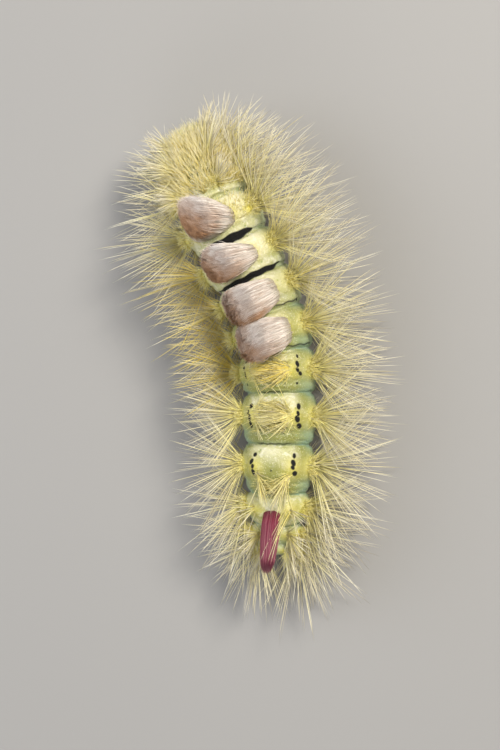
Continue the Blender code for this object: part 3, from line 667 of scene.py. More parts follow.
def head_point(ahead, half, drop, angle):
    """A point of the head capsule, with the groove between its lobes."""
    a = np.radians(angle)[..., None]
    groove = 1 - LOBE_GROOVE[0] * bell(angle, LOBE_GROOVE[1])
    radial = head_right * np.sin(a) + head_back * np.cos(a)
    middle = neck_end + head_forward * np.asarray(ahead)[..., None] - head_back * np.asarray(drop)[..., None]
    point = middle + radial * (half * groove)[..., None]
    return point + unit(head_middle - point) * (SUTURE[0] * seam_share(ahead, half, angle))[..., None]


# Head shell, a hardened cuticle: finely grained, glossy, yellow-green with brown freckles and darker seams.
head_shell = new_material("head_capsule_shell", {
    "Roughness": 0.3,
    "Subsurface Weight": 0.1,
    "Subsurface Radius": (0.8, 0.9, 0.4),
    "Subsurface Scale": 0.3 * MM,
})
tree = head_shell.node_tree
where, shares = textured(tree, {
    "marble": ("TexNoise", 0.5, 4, 0.48, 0.7, 0.6),
    "freckle": ("TexVoronoi", 0.3, 0, 0.26, 0.1, 0.4),
})
paint(head_shell, "#BDC27C", {"marble": "#A09A58", "freckle": "#7C6A34", "seam": "#5E5226"}, shares)
grain = add(tree, "TexNoise", {"Scale": 1 / (0.08 * MM), "Detail": 2}, {"Vector": where})
roughen(head_shell, grain, 0.4, 0.02)
capsule_angles = np.linspace(-180, 180, 240, endpoint=False)
capsule_rows = eased(HEAD_RINGS, 90, 12)
capsule_mesh = mesh_of("head_capsule", *tube([head_point(*row, capsule_angles) for row in capsule_rows]))
seams = [seam_share(ahead, half, capsule_angles) for ahead, half, _ in capsule_rows]
store(capsule_mesh, "seam", np.append(np.concatenate(seams), [0, 0]))
placed("head_capsule", capsule_mesh, head_shell, "head_shell", "head")

# Stemmata, six black simple eyes in a ring low on each side of the head. Each is a clear lens over black
# pigment, like a wet bead.
STEMMATA = (1.75, 118)  # the ring's middle: ahead of the neck and angle
STEMMATA_RING = (0.34, 12)
STEMMA_RADIUS = 0.11
bead_glass = new_material("stemma_lens", {"Base Color": linear("#0D0B0A"), "Roughness": 0.08})
beads = []
for side in (1, -1):
    for k in range(6):
        t = math.radians(60 * k - 40)
        ahead = STEMMATA[0] + STEMMATA_RING[0] * math.cos(t)
        at = head_point(ahead, 1.9, 0.12, np.array(side * (STEMMATA[1] + STEMMATA_RING[1] * math.sin(t))))
        out = unit(at - head_middle)
        polar = np.linspace(0.05, math.pi - 0.05, 12)
        line = at + out * (0.01 - STEMMA_RADIUS * np.cos(polar))[:, None]
        beads.append(limb(line, STEMMA_RADIUS * np.sin(polar), 14))
placed("stemmata", joined(beads), bead_glass, "head_shell")

# Mouthparts and feelers. Two mandibles of hard brown horn meet below a notched upper lip, between stubby
# feelers of three joints, each joint a ring of shell narrower than the one before.
MOUTH = (2.3, 1.45)  # ahead of the neck's end and below it
MANDIBLE = (0.24, 0.32, 0.3, 0.16, 0.05)  # half sizes at these shares of its length
MANDIBLE_SHARES = (0, 0.25, 0.65, 0.9, 1)
FEELER_LENGTH = 1.07
UPPER_LIP = ((0, 0.5, 0.2), (0.075, 0.6, 0.27), (0.375, 0.6, 0.26), (0.6375, 0.52, 0.2), (0.75, 0.4, 0.08))
LIP_NOTCH = (0.16 / 0.75, 0.3)  # depth as a share of the lip's length, and half width
mandible_horn = new_material("mandible_horn", {"Base Color": linear("#4A2A14"), "Roughness": 0.22})


def stub_halves(count, ends, halves, blunting):
    """Half sizes of a stub of joints that end at these shares of it, with a rounded tip."""
    at = np.linspace(0, 1, count)
    sizes = np.asarray(halves)[np.searchsorted(ends, at, side="right")]
    return smoothed(sizes * (1 - blunting * ramp(at, 0.9, 1.0)), 1)


def lip_rings(rows, middle, sides=32, notch=0.0):
    """Flat oval rings across the mouth. Each row is a place down the jaw's way, half width and half depth."""
    turn = np.linspace(-math.pi, math.pi, sides, endpoint=False)
    wave = notch * bell(np.sin(turn), LIP_NOTCH[1])
    made = []
    for down, wide, deep in rows:
        ring = head_right * (wide * np.cos(turn))[:, None] + jaw_deep * (deep * np.sin(turn))[:, None]
        made.append(middle + jaw_way * (down - down * wave)[:, None] + ring)
    return made


mouth = neck_end + head_forward * MOUTH[0] - head_back * MOUTH[1]
jaw_way = unit(head_forward * 0.55 - head_back)
jaw_deep = np.cross(jaw_way, head_right)
for side, word in ((1, "right"), (-1, "left")):
    root = mouth + jaw_way * 0.55 + head_right * (side * 0.45)
    tip = root + jaw_way * 0.75 - head_right * (side * 0.16)
    line = eased([root - jaw_way * 0.25, root, root + jaw_way * 0.4, tip], 14, 3)
    halves = np.interp(np.linspace(0, 1, 14), MANDIBLE_SHARES, MANDIBLE)
    placed(f"mandible_{word}_horn", limb(line, halves), mandible_horn, "mouth_horn", f"mandible_{word}")
    root = head_point(2.0, 1.78, 0.15, np.array(side * 132.0))
    root = root + (head_forward + head_right * (side * 0.6) - head_back * 0.4) * 0.2
    way = unit(head_forward + head_right * (side * 0.7) - head_back * 0.5)
    line = root + way * np.linspace(0, FEELER_LENGTH, 26)[:, None]
    feeler = limb(line, stub_halves(26, (0.38, 0.72), (0.27, 0.19, 0.11), 0.75))
    placed(f"feeler_{word}_shell", feeler, head_shell, "head_shell", f"feeler_{word}")
root = mouth + head_forward * 0.62 + jaw_way * 0.05
upper_lip = tube(lip_rings(UPPER_LIP, root, 40, LIP_NOTCH[0]))
placed("upper_lip", upper_lip, head_shell, "head_shell", "labrum")

# The soft band that joins the plate to the upper lip, and under the jaws the lower lip with its two jointed
# palps on each side and the spinneret, a fine tube that silk comes out of.
MOUTH_BAND = (
    (-0.95, 0.62, 0.1), (-0.6, 0.86, 0.3), (-0.2, 0.82, 0.33), (0.05, 0.66, 0.26), (0.14, 0.5, 0.16),
)
LOWER_LIP = ((-0.6, 0.5, 0.3), (-0.1, 0.66, 0.4), (0.35, 0.5, 0.32), (0.5, 0.2, 0.12))
PALPS = ((0.52, 0.17), (0.22, 0.09))  # how far from the middle, and half size
PALP_LENGTH = 0.62
SPINNERET_LENGTH = 0.42
placed("mouth_band", tube(lip_rings(eased(MOUTH_BAND, 16, 3), root)), head_shell, "head_shell")
chin = mouth - head_forward * 0.42
lower_parts = [tube(lip_rings(eased(LOWER_LIP, 16, 3), chin))]
halves = stub_halves(18, (0.4, 0.75), (1.0, 0.68, 0.4), 0.8)
line = np.linspace(0, PALP_LENGTH, 18)[:, None] * unit(jaw_way + head_forward * 0.25) + chin + jaw_way * 0.3
for side in (1, -1):
    for aside, thick in PALPS:
        lower_parts.append(limb(line + head_right * (side * aside), halves * thick, 12))
way = unit(jaw_way + head_forward * 0.5)
line = chin + jaw_way * 0.42 + np.linspace(0, SPINNERET_LENGTH, 8)[:, None] * way
lower_parts.append(limb(line, np.linspace(0.08, 0.03, 8), 10))
placed("lower_lip", joined(lower_parts), head_shell, "head_shell")

# Hair. Every hair is a closed three-sided tube of horn that tapers to a point, rooted in the skin. One
# function grows a whole patch of them as one mesh, and keeps what the hair materials read.
FLOOR_CLEARANCE = 0.05
BAKE_PATCH = 0.003  # the side of one hair's patch on the map
UNROLLED_LENGTH = BODY_LENGTH + 3.0  # the skin unrolled from the tail to the front of the head
draw = np.random.default_rng(7)


def around_middle(share):
    """Two coordinates for each hair, at its share of the way out and in a direction of its own."""
    turn = draw.uniform(0, 2 * math.pi, len(share))
    return share * np.cos(turn), share * np.sin(turn)


def hair_lines(roots, ways, lengths, bends, stations):
    """The centre lines of hairs that start along their ways and bend, kept above the floor."""
    t = np.asarray(stations)[None, :, None]
    lines = roots[:, None] + ways[:, None] * (lengths[:, None, None] * t)
    lines = lines + bends[:, None] * (lengths[:, None, None] * t**2)
    lines[..., 2] = np.maximum(lines[..., 2], FLOOR_CLEARANCE)
    return lines


def scatter(mean, spread, count, top):
    """Shares for hairs, at random about a mean, from 0 to a top."""
    return np.clip(mean + draw.normal(0, spread, count), 0, top)


def tapered(radius, taper, count, low, high):
    """Radii of hairs at their stations, each hair a little finer or thicker than the others."""
    return radius * np.asarray(taper) * draw.uniform(low, high, (count, 1))


def hair_mesh(name, lines, radii, root_s, root_angle, facts):
    """Tubes around hair lines, which have one point more than radii. Facts are numbers for each hair.

    On the map, a hair's patch lies at its root's place on the unrolled skin: sides across it, length up it.
    """
    count, points_each = lines.shape[:2]
    rings = points_each - 1
    ahead = unit(np.gradient(lines, axis=1))
    across = unit(np.cross(ahead, unit(draw.normal(size=(count, 1, 3)))))
    deep = np.cross(ahead, across)
    turn = np.arange(3) * 2 * math.pi / 3
    circle = across[:, :, None] * np.cos(turn)[:, None] + deep[:, :, None] * np.sin(turn)[:, None]
    sizes = np.asarray(radii)[..., :, None, None]
    tube_points = lines[:, :rings, None] + circle[:, :rings] * sizes
    points = np.concatenate([tube_points.reshape(count, rings * 3, 3), lines[:, -1:]], axis=1)
    each = rings * 3 + 1
    cells = [((k, i), (k, i + 1), (k + 1, i + 1), (k + 1, i)) for k in range(rings - 1) for i in range(3)]
    cells += [((rings - 1, i), (rings - 1, i + 1), (rings, i + 0.5)) for i in range(3)]
    cells.append(((0, 2), (0, 1), (0, 0)))
    up, aside = np.concatenate(cells).T
    corners = np.where(up < rings, up * 3 + aside % 3, rings * 3) + (np.arange(count) * each)[:, None]
    face_sizes = np.tile([len(cell) for cell in cells], count)
    mesh = bpy.data.meshes.new(name)
    mesh.vertices.add(count * each)
    mesh.vertices.foreach_set("co", (points * MM).astype(np.float32).ravel())
    mesh.loops.add(corners.size)
    mesh.loops.foreach_set("vertex_index", corners.ravel().astype(np.int32))
    mesh.polygons.add(face_sizes.size)
    mesh.polygons.foreach_set("loop_start", (np.cumsum(face_sizes) - face_sizes).astype(np.int32))
    u = np.clip(root_s / UNROLLED_LENGTH, 0, 1)[:, None] * (1 - BAKE_PATCH) + aside / 3 * BAKE_PATCH
    v = ((root_angle / 360 + 0.5) % 1.0)[:, None] * (1 - BAKE_PATCH) + up / rings * BAKE_PATCH
    layer = mesh.uv_layers.new(name="OFBake")
    layer.data.foreach_set("uv", np.stack([u, v], axis=-1).astype(np.float32).ravel())
    mesh.update(calc_edges=True)
    mesh.shade_smooth()
    shares = np.append(np.repeat(np.arange(rings) / rings, 3), 1.0)
    store(mesh, "along", np.tile(shares, count))
    for fact, values in facts.items():
        store(mesh, fact, np.repeat(values, each))
    return mesh


# Side bristles. Long, stiff hairs of yellow horn stand in a fan on each wart, lemon at the root and paler,
# nearly colourless at the tip. For each row: how many on a long segment, half angles of the fan along and
# around the body, and shortest and full length as shares of the segment's.
FANS = {
    "back": (80, 60, 30, 0.14, 0.46),
    "flank": (80, 66, 44, 0.6, 1.12),
    "spiracle": (44, 66, 34, 0.55, 1.08),
    "belly": (40, 52, 44, 0.25, 0.6),
}
BRISTLE_LENGTH = (7.8, 7.9, 8.2, 8.4, 8.4, 8.6, 8.8, 9.0, 9.6, 9.6, 8.5, 7.1, 5.9)  # from the tail forward
FORWARD_LEAN = (-1.5, -0.9, -0.45, -0.15, -0.05, 0, 0, 0.05, 0.1, 0.2, 0.4, 0.7, 1.2)
BRISTLE_STATIONS = (-0.04, 0.22, 0.52, 0.84, 1.0)
BRISTLE_TAPER = (1.0, 0.97, 0.88, 0.68)
BRISTLE_RADIUS = 0.041
LOOSENESS = (0.02, 0.04)  # how far each hair bends at random, and how far it sags
BRISTLE_TURN = 0.24  # how far each one curves back from its lean along the body
TAIL_TURN = -0.16  # but those of the last four segments curve on toward the rear
BRUSH_SEGMENTS = ("abdomen_1", "abdomen_2", "abdomen_3", "abdomen_4")  # no back row stands here
CROSSING = {  # by segment: lean over the back, lean to the rear, and how far behind the wart they stand
    "abdomen_5": (2.2, 0.0, 0.0),
    "abdomen_6": (1.9, 0.2, 0.0),
    "abdomen_7": (1.2, 1.25, 0.9),
}
CROSSING_ROOT = 26  # these hairs stand on the inner side of their warts
BACK_LEAN = (-0.7, 0.0, 0.0)  # the same values for the back row elsewhere, which leans outward
HAIR_TOP = 14.8  # no bristle stands higher above the floor
LEFT_LENGTH = 0.86  # the left ones are a little shorter than the right ones
BACK_SHARE = {"abdomen_7": 0.5, "abdomen_8": 0.15}  # fewer back hairs stand beside the tail pencil
FAN_ROOT = 0.8  # the share of a wart's size over which its hairs' roots spread
BACK_ROOT = 0.5  # the back row's spread only so much of that around the body
ROOT_SCATTER = 0.15  # how far single roots stray, as a share of the same
BACK_SPREAD = (0.55, 1.3)  # the back row's hairs crowd about the fan's axis: their spread and its limit
FRONT_ONES = ("thorax_1", "thorax_2")
FRONT_BACK_LENGTH = (0.35, 0.8)  # here the back row's hairs are long too, and stand out over the head
STRAY_HAIRS = 12
STRAY_PLACE, STRAY_ANGLE, STRAY_LENGTH = (-0.7, 0.2), (17, 38), (2.6, 5.8)
STRAY_ASIDE, STRAY_RISE = (0.0, 0.55), (0.85, 1.2)  # how far they lean to the left, and how far up


def ways_at(s):
    """Forward, right and back at the distances s from the tail."""
    return along(s, FORWARD), along(s, RIGHT), along(s, BACK)


def fan(number, side, row, count, half_angles, short, full):
    """Hairs of one wart: roots spread over it, and ways spread evenly over a cone about its axis."""
    at, _, size = WARTS[row]
    over, rearward, behind = CROSSING.get(NAMES[number], BACK_LEAN) if row == "back" else (0, 0, 0)
    s = STATIONS[number] - behind
    forward, right, _ = ways_at(s)
    angle = side * (CROSSING_ROOT if over > 0 else at)
    axis = skin_normal(s, angle) + forward * FORWARD_LEAN[number]
    axis = unit(axis - right * side * over - forward * rearward)
    around = unit(np.cross(axis, forward)) * side
    ahead = np.cross(around, axis) * side
    share = np.sqrt(draw.uniform(0, 1, count))
    if row == "back":
        share = np.minimum(abs(draw.normal(0, BACK_SPREAD[0], count)), BACK_SPREAD[1])
    a, b = around_middle(share)
    lean = ahead * (a * math.radians(half_angles[0]))[:, None]
    lean = lean + around * (b * math.radians(half_angles[1]))[:, None]
    tilt = np.linalg.norm(lean, axis=-1, keepdims=True)
    ways = axis * np.cos(tilt) + lean / tilt * np.sin(tilt)
    reach = size * FAN_ROOT * WART_SHARES[number]
    root_s = s + reach * (a + draw.normal(0, ROOT_SCATTER, count))
    if row == "back":
        reach = reach * BACK_ROOT
    root_angle = angle + side * np.degrees(reach * (b + draw.normal(0, ROOT_SCATTER, count)) / half_width(s))
    lengths = BRISTLE_LENGTH[number] * draw.uniform(short, full, count)
    return root_s, root_angle, ways, lengths


def grown(root_s, root_angle, ways, lengths, bend, droop, stations, turn=0.0):
    """Hair lines from places on the skin, each with a small bend of its own. None stands above the top."""
    roots = skin_point(root_s, root_angle)
    bends = draw.normal(0, bend, (len(lengths), 3)) - [0, 0, droop]
    forward = along(root_s, FORWARD)
    bends = bends - forward * ((ways * forward).sum(-1) * turn)[:, None]
    rise = ((ways + bends) * lengths[:, None])[:, 2]
    lengths = lengths * np.clip((HAIR_TOP - roots[:, 2]) / np.maximum(rise, 0.1), 0.3, 1)
    return hair_lines(roots, ways, lengths, bends, stations)


def hair_in_halves(name, lines, radii, root_s, root_angle, facts):
    """Yellow hairs as two pieces, those of the hind half of the body and those of the front half."""
    number, _ = segment_at(root_s)
    for part, block in (("hind", number <= 6), ("front", number > 6)):
        half_facts = {fact: values[block] for fact, values in facts.items()}
        half = [values[block] for values in (lines, radii, root_s, root_angle)]
        placed(f"{name}_{part}", hair_mesh(f"{name}_{part}", *half, half_facts), hair_horn, "skin")


# Horn of insect hair, a clear yellow chitin: glossy and a little translucent, so that it brightens along its
# length, and its fine barbs make it look dusty. Golden hairs stand on the left and behind the last brush.
hair_horn = new_material("yellow_chitin_hair", {"Roughness": 0.38})
tree = hair_horn.node_tree
tip = add(tree, "MapRange", {1: 0.1, 2: 0.7, 4: 0.95}, {0: "along"})
tip = add(tree, "Math", {"operation": "MULTIPLY"}, {0: tip, 1: "pale"})
paint(hair_horn, "#F8F09A", {"tip": "#F3EDD8", "gold": "#F3DA5C", "grey": "#AEA38E"}, {"tip": tip})

bristles = []
for number, name in enumerate(NAMES):
    for row, (count, ahead_half, around_half, short, full) in FANS.items():
        if row == "back" and name in BRUSH_SEGMENTS:
            continue
        # A short segment has fewer hairs. Those that cross the back are yellower than the rest.
        count = max(8, round(count * min(1.25, 0.35 + LENGTHS[number] / 5)))
        if row == "back":
            count = round(count * BACK_SHARE.get(name, 1))
        if row == "back" and name in FRONT_ONES:
            short, full = FRONT_BACK_LENGTH
        pale = 0.35 if row == "back" and name in CROSSING else 1.0
        for side in (1, -1):
            *places, lengths = fan(number, side, row, count, (ahead_half, around_half), short, full)
            lengths = lengths * (LEFT_LENGTH if side < 0 else 1)
            bristles.append((*places, lengths, np.full(count, pale)))
# A few stray ones cross over the tail pencil from the right.
root_s = STATIONS[NAMES.index("abdomen_8")] + draw.uniform(*STRAY_PLACE, STRAY_HAIRS)
root_angle = draw.uniform(*STRAY_ANGLE, STRAY_HAIRS)
forward, right, back = ways_at(root_s)
aside = right * draw.uniform(*STRAY_ASIDE, (STRAY_HAIRS, 1))
ways = unit(back * draw.uniform(*STRAY_RISE, (STRAY_HAIRS, 1)) - forward - aside)
lengths = draw.uniform(*STRAY_LENGTH, STRAY_HAIRS)
bristles.append((root_s, root_angle, ways, lengths, np.full(STRAY_HAIRS, 0.6)))
root_s, root_angle, ways, lengths, pale = (np.concatenate(column) for column in zip(*bristles))
number, _ = segment_at(root_s)
turns = np.where(number <= 3, TAIL_TURN, BRISTLE_TURN)
lines = grown(root_s, root_angle, ways, lengths, *LOOSENESS, BRISTLE_STATIONS, turns)
golden = ((root_angle < 0) & (number >= 5) & (number <= 8)) | ((pale < 1) & (number == 5))
gold = draw.normal(0.1, 0.15, len(lines)) + golden * draw.uniform(0.1, 0.9, len(lines)) + 0.1 * (pale < 1)
grey = scatter(0.22, 0.38, len(lines), 0.9)
radii = tapered(BRISTLE_RADIUS, BRISTLE_TAPER, len(lines), 0.65, 1.15)
facts = {"gold": np.clip(gold, 0, 1), "grey": grey, "pale": pale}
hair_in_halves("bristles", lines, radii, root_s, root_angle, facts)

# The yellow coat. Between the long bristles the back of the thorax is thick with short, bright yellow hair
# that leans forward over the head and hides it from above. Most warts have a little of the same down, those
# of the flanks a thick nap of it, and behind the brushes some lies across the back.
COAT_ROWS = (-64, -40, -14, 14, 40, 64)
COAT = {  # by segment: hairs in a row, how far up the segment the coat starts, shortest and full length
    "thorax_1": (230, 0.0, 0.9, 2.1),
    "thorax_2": (230, 0.0, 1.0, 2.4),
    "thorax_3": (150, 0.25, 0.9, 2.4),
    "abdomen_1": (60, 0.35, 0.4, 1.4),
}
COAT_SPREAD = (9, 0.27)  # in degrees about each row, and in the hairs' ways
COAT_LOOSENESS = (0.045, 0.05)
DOWN_HAIRS = 46
BACK_DOWN = {  # by segment: how many short hairs lie across the back, and where they start and end
    "abdomen_5": (520, 0.3, 0.95),
    "abdomen_6": (480, 0.25, 0.85),
    "abdomen_7": (200, 0.05, 0.33),
}
DOWN_LENGTH = (0.5, 1.9)
BACK_DOWN_LENGTH = (0.5, 1.3)
PAD_LENGTH = (0.3, 1.05)  # the short nap of the flank warts, which covers them like pads
PAD_SHARE = 6  # how many times thicker the nap stands than the down of other warts
PAD_SPREAD = 1.25
FINE_STATIONS = (-0.04, 0.3, 0.65, 1.0)
FINE_TAPER = (1.0, 0.85, 0.6)
FINE_RADIUS = 0.026
coats = []
for name, (count, low, short, full) in COAT.items():
    number = NAMES.index(name)
    for at in COAT_ROWS:
        s = within(name, draw.uniform(low, 1, count))
        angle = at + draw.normal(0, COAT_SPREAD[0], count)
        spread = draw.normal(0, COAT_SPREAD[1], (count, 3))
        ways = unit(skin_normal(s, angle) + along(s, FORWARD) * (0.3 + 0.6 * FORWARD_LEAN[number]) + spread)
        lengths = draw.uniform(short, full, count)
        coats.append((s, angle, ways, lengths, np.full(count, 0.3), np.full(count, 0.9)))
for number, name in enumerate(NAMES):
    for row, (at, _, _) in WARTS.items():
        if row == "back" and name in (*BRUSH_SEGMENTS, *CROSSING, *BACK_SHARE):
            continue
        for side in (1, -1):
            count = DOWN_HAIRS * (PAD_SHARE if row == "flank" else 1)
            root_s, root_angle, ways, _ = fan(number, side, row, count, (75, 75), 0, 0)
            if row == "flank":
                root_s = STATIONS[number] + (root_s - STATIONS[number]) * PAD_SPREAD
                root_angle = side * at + (root_angle - side * at) * PAD_SPREAD
                ways = unit(skin_normal(root_s, root_angle) + draw.normal(0, 0.3, ways.shape))
            lengths = draw.uniform(*(PAD_LENGTH if row == "flank" else DOWN_LENGTH), count)
            coats.append((root_s, root_angle, ways, lengths, np.full(count, 0.15), np.full(count, 0.3)))
for name, (count, low, high) in BACK_DOWN.items():
    s = within(name, draw.uniform(low, high, count))
    angle = draw.normal(0, 14, count)
    ways = skin_normal(s, angle) * 0.45 + along(s, RIGHT) * draw.choice([-1, 1], count)[:, None]
    ways = unit(ways + draw.normal(0, 0.3, ways.shape))
    lengths = draw.uniform(*BACK_DOWN_LENGTH, count)
    coats.append((s, angle, ways, lengths, np.full(count, 0.25), np.zeros(count)))
root_s, root_angle, ways, lengths, yellow, pale = (np.concatenate(column) for column in zip(*coats))
lines = grown(root_s, root_angle, ways, lengths, *COAT_LOOSENESS, FINE_STATIONS)
radii = tapered(FINE_RADIUS, FINE_TAPER, len(lines), 0.8, 1.2)
facts = {"gold": scatter(yellow, 0.2, len(lines), 1), "grey": np.where(pale > 0, 0, 0.3), "pale": pale}
hair_in_halves("yellow_coat", lines, radii, root_s, root_angle, facts)

# Fine short hairs stand on the head capsule, thinly, and shorter toward the mouth.
HEAD_HAIRS = 260
HEAD_HAIR_ANGLES = (-150, 150)  # all round the capsule but for its underside
HEAD_HAIR_LENGTH = (0.35, 1.5)
HEAD_HAIR_SHARES = (1.2, 0.6)  # of that length, at the neck's end and at the mouth's end
HEAD_HAIR_SPREAD, HEAD_HAIR_LEAN = 0.2, 0.35
HAIRY_ROWS = (16, 80)  # of the capsule, so that none stands on the neck or in the mouth
rows = capsule_rows[draw.integers(*HAIRY_ROWS, HEAD_HAIRS)]
root_angle = draw.uniform(*HEAD_HAIR_ANGLES, HEAD_HAIRS)
roots = head_point(*rows.T, root_angle)
ways = unit(roots - head_middle) + draw.normal(0, HEAD_HAIR_SPREAD, (HEAD_HAIRS, 3))
ways = unit(ways + head_forward * HEAD_HAIR_LEAN)
lengths = draw.uniform(*HEAD_HAIR_LENGTH, HEAD_HAIRS) * np.interp(rows[:, 0], (0.8, 2.7), HEAD_HAIR_SHARES)
bends = draw.normal(0, 0.08, (HEAD_HAIRS, 3)) - [0, 0, 0.12]
lines = hair_lines(roots, ways, lengths, bends, FINE_STATIONS)
radii = tapered(FINE_RADIUS * 0.8, FINE_TAPER, HEAD_HAIRS, 0.8, 1.2)
facts = {fact: np.full(HEAD_HAIRS, share) for fact, share in (("gold", 0.1), ("grey", 0.1), ("pale", 0.8))}
head_hair = hair_mesh("head_hairs", lines, radii, BODY_LENGTH + rows[:, 0], root_angle, facts)
placed("head_hairs", head_hair, hair_horn, "head_shell")

# The brushes. Thousands of silky hairs, white with brown tips, stand on a wide foot across the back of each
# of the first four segments of the abdomen and lean in to a blunt crest.
BRUSHES = {  # by segment: lean, the foot's half angle, half length and hind shift, how square, and how brown
    "abdomen_1": (19, 37, 1.15, 0.1, 3.0, 0.6),
    "abdomen_2": (8, 42, 1.15, 0.1, 3.0, 0.55),
    "abdomen_3": (-9, 46, 1.4, 0.3, 4.5, 0.52),
    "abdomen_4": (-13, 46, 1.45, 0.35, 4.5, 0.45),
}
BRUSH_HAIRS = 5200
BRUSH_LOCKS = 70
LOCK_PULL = 0.1  # how far the hairs of a lock lean in to its middle
LOCK_TONE, LOCK_RISE = 0.13, 0.02  # how far locks differ from each other in colour and height
FOOT_CROWD = 0.45  # the lower, the more hairs stand at the foot's edge
TIP_STRAY = 0.11
LOOSE_HAIRS = (0.12, 2.4)  # their share, and how much further than the others their tips stray
BRUSH_HEIGHT = 4.7
CREST_FALL, CREST_ROUGH = 0.12, 0.04  # how much lower the crest's edge is, and how uneven, as shares
BROWN_LEFT, BROWN_REAR = 0.45, 0.5  # the brown grows toward the left side and the rear
BRUSH_HEAD = (1.75, 0.95)  # half length and half width of the crest
BRUSH_BULGE = 0.9  # how far the sides swell out between foot and crest
BRUSH_STATIONS = (0.0, 0.3, 0.62, 1.0)
BRUSH_TAPER = (1.0, 0.9, 0.7)
BRUSH_RADIUS = 0.034
# Silk of insect hair, fine chitin without colour, so that it is white where it is dense. Brown starts half
# way up a hair.
silk = new_material("silky_chitin_hair", {"Roughness": 0.4})
tree = silk.node_tree
tip = add(tree, "MapRange", {1: 0.38, 2: 0.7}, {0: "along"})
tip = add(tree, "Math", {"operation": "MULTIPLY"}, {0: tip, 1: "brown"})
paint(silk, "#FFF8F0", {"grey": "#D0BBAD", "tip": "#BF946E"}, {"tip": tip})
for name, (lean, foot_angle, foot_half, foot_shift, square, brownness) in BRUSHES.items():
    number = NAMES.index(name)
    s = STATIONS[number]
    forward, right, back = ways_at(s)
    way = unit(back + forward * math.tan(math.radians(lean)))
    share = draw.uniform(0, 1, BRUSH_HAIRS) ** FOOT_CROWD
    turn = draw.uniform(0, 2 * math.pi, BRUSH_HAIRS)
    blunt = (abs(np.cos(turn)) ** square + abs(np.sin(turn)) ** square) ** (-1 / square)
    p, q = share * blunt * np.cos(turn), share * blunt * np.sin(turn)
    lock_p, lock_q = p[:BRUSH_LOCKS], q[:BRUSH_LOCKS]
    lock = ((p[:, None] - lock_p) ** 2 + (q[:, None] - lock_q) ** 2).argmin(1)
    lock_tone = draw.normal(0, LOCK_TONE, BRUSH_LOCKS)
    lock_rise = draw.normal(0, LOCK_RISE, BRUSH_LOCKS)
    tip_p = p + (lock_p[lock] - p) * LOCK_PULL
    tip_q = q + (lock_q[lock] - q) * LOCK_PULL
    root_s, root_angle = s - foot_shift + p * foot_half, q * foot_angle
    foot = skin_point(root_s, root_angle, -0.05)
    rise = 1 - CREST_FALL * (p * p + q * q) + lock_rise[lock] + draw.normal(0, CREST_ROUGH, BRUSH_HAIRS)
    loose = draw.uniform(0, 1, BRUSH_HAIRS) < LOOSE_HAIRS[0]
    side = forward * (tip_p * BRUSH_HEAD[0])[:, None] + right * (tip_q * BRUSH_HEAD[1])[:, None]
    stray = draw.normal(0, TIP_STRAY, (BRUSH_HAIRS, 3)) * np.where(loose, LOOSE_HAIRS[1], 1)[:, None]
    head = skin_point(s, 0) + way * (BRUSH_HEIGHT * rise)[:, None] + side + stray
    bulge = forward * p[:, None] + right * q[:, None]
    t = np.asarray(BRUSH_STATIONS)[None, :, None]
    lines = foot[:, None] + (head - foot)[:, None] * t + bulge[:, None] * (BRUSH_BULGE * t * (1 - t))
    radii = tapered(BRUSH_RADIUS, BRUSH_TAPER, BRUSH_HAIRS, 0.8, 1.15)
    brown = brownness - BROWN_LEFT * q - BROWN_REAR * p + lock_tone[lock]
    facts = {"brown": scatter(brown, 0.15, BRUSH_HAIRS, 1)}
    facts["grey"] = scatter(0.3 + lock_tone[lock], 0.32, BRUSH_HAIRS, 0.95)
    brush_mesh = hair_mesh(f"tussock_{name[-1]}", lines, radii, root_s, root_angle, facts)
    placed(f"tussock_{name[-1]}", brush_mesh, silk, "brush_hair", f"brush_{name[-1]}")

# The tail pencil, a long narrow bundle of crimson hairs on the back of the eighth segment of the abdomen. It
# slants up and to the rear, and its hairs lie close together to a blunt tip.
PENCIL_HAIRS = 900
PENCIL_LENGTH = 6.2
PENCIL_RISE = 0.62
PENCIL_SHIFT = -0.42  # it stands a little behind its segment's warts
PENCIL_FOOT = (0.45, 16.5)  # half length, and half angle in degrees
PENCIL_HALF = 0.78
PENCIL_SWELL = (1.12, 0.08, 0.5)  # thickness at the foot, what it gains midway, and what it loses at the tip
PENCIL_BLUNT = 0.09  # how much shorter its outermost hairs are
PENCIL_RADIUS = 0.038
# Crimson horn of the same make. Single hairs are paler or darker than the rest.
crimson = new_material("crimson_chitin_hair", {"Roughness": 0.42})
paint(crimson, "#90394F", {"grey": "#D9A2A6", "dark": "#6E2036"})
s = STATIONS[NAMES.index("abdomen_8")] + PENCIL_SHIFT
forward, right, back = ways_at(s)
way = unit(back * PENCIL_RISE - forward + right * 0.04)
above = np.cross(way, right)
share = np.sqrt(draw.uniform(0, 1, PENCIL_HAIRS))
p, q = around_middle(share)
root_s, root_angle = s + p * PENCIL_FOOT[0], q * PENCIL_FOOT[1]
foot = skin_point(root_s, root_angle, -0.05)
reach = PENCIL_LENGTH * (1 - PENCIL_BLUNT * share**4) * draw.uniform(0.9, 1.0, PENCIL_HAIRS)
spread = (right * q[:, None] + above * p[:, None]) * PENCIL_HALF
middle = skin_point(s, 0)
t = np.asarray(BRISTLE_STATIONS)[None, :, None]
axis_line = middle + way * (reach[:, None, None] * t)
up = np.clip(t, 0, 1)
thickness = PENCIL_SWELL[0] + PENCIL_SWELL[1] * np.sin(math.pi * up * 0.7) - PENCIL_SWELL[2] * up**3
lines = axis_line + spread[:, None] * thickness + draw.normal(0, 0.03, (PENCIL_HAIRS, 1, 3)) * t
lines[:, 0] = foot
radii = tapered(PENCIL_RADIUS, BRISTLE_TAPER, PENCIL_HAIRS, 0.8, 1.1)
facts = {"grey": scatter(0.0, 0.3, PENCIL_HAIRS, 0.9), "dark": scatter(0.05, 0.3, PENCIL_HAIRS, 0.9)}
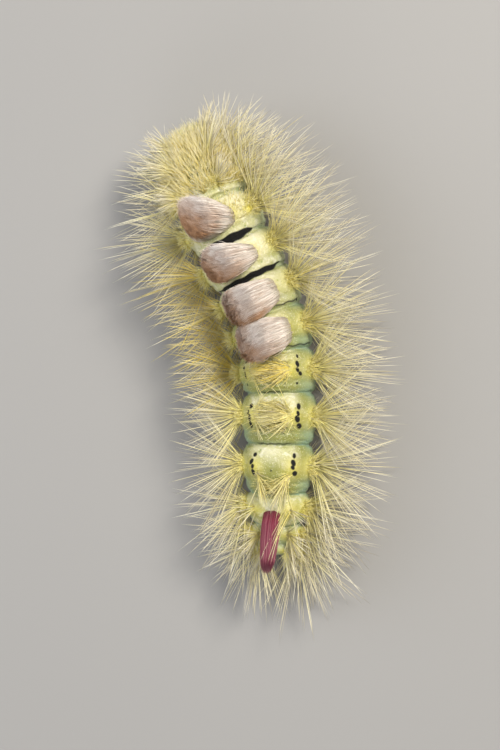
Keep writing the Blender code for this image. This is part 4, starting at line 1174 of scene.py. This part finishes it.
pencil_mesh = hair_mesh("pencil", lines, radii, root_s, root_angle, facts)
placed("pencil", pencil_mesh, crimson, "pencil_hair", "tail_pencil")

# Floor, light and camera: a plain pale table under soft studio light, seen from above as in the photograph.
CAMERA_TILT = math.radians(9.5)
CAMERA_AIM = np.array([-0.54, -1.47, 0.0])
CAMERA_DISTANCE = 213.0
LAMP_AIM = np.array([0.0, 0.0, 4.0])
FLOOR_HALF = 2000
FLOOR_CORNERS = ((-1, -1, 0), (1, -1, 0), (1, 1, 0), (-1, 1, 0))
scene = bpy.context.scene
# Matt paint on the table, a dense white pigment greyed a little, which hardly shines.
table = new_material("matt_table_paint", {"Base Color": linear("#9C9A97"), "Roughness": 0.85})
floor_mesh = mesh_of("floor", np.array(FLOOR_CORNERS) * FLOOR_HALF, [(0, 1, 2, 3)])
floor_mesh.materials.append(table)
floor = bpy.data.objects.new("floor", floor_mesh)
scene.collection.objects.link(floor)


def soft_light(name, place, size, power, colour):
    """A square lamp that faces the middle of the larva."""
    lamp = bpy.data.lights.new(name, "AREA")
    lamp.shape = "SQUARE"
    lamp.size = size * MM
    lamp.energy = power
    lamp.color = linear(colour)[:3]
    lit = bpy.data.objects.new(name, lamp)
    scene.collection.objects.link(lit)
    lit.location = np.array(place) * MM
    aim = unit(LAMP_AIM - place)
    lit.rotation_euler = (math.acos(-aim[2]), 0, math.atan2(aim[1], aim[0]) - math.pi / 2)


soft_light("key_lamp", (150, 120, 240), 90, 1.12, "#FFFAF2")
soft_light("fill_lamp", (-220, 40, 180), 220, 0.46, "#EEF3FF")
soft_light("rear_lamp", (-40, -240, 140), 160, 0.2, "#FFFFFF")
world = bpy.data.worlds.new("studio")
world.use_nodes = True
background = world.node_tree.nodes["Background"].inputs
background["Color"].default_value = linear("#E4E6E8")
background["Strength"].default_value = 0.32
scene.world = world
scene.view_settings.view_transform = "Standard"

camera = bpy.data.objects.new("camera", bpy.data.cameras.new("camera"))
scene.collection.objects.link(camera)
camera.data.lens = 100
camera.data.sensor_width = 36
camera.data.clip_start = 0.001
view_way = np.array([math.sin(CAMERA_TILT), 0, math.cos(CAMERA_TILT)])
camera.location = (CAMERA_AIM + view_way * CAMERA_DISTANCE) * MM
camera.rotation_euler = (0, CAMERA_TILT, 0)
scene.camera = camera
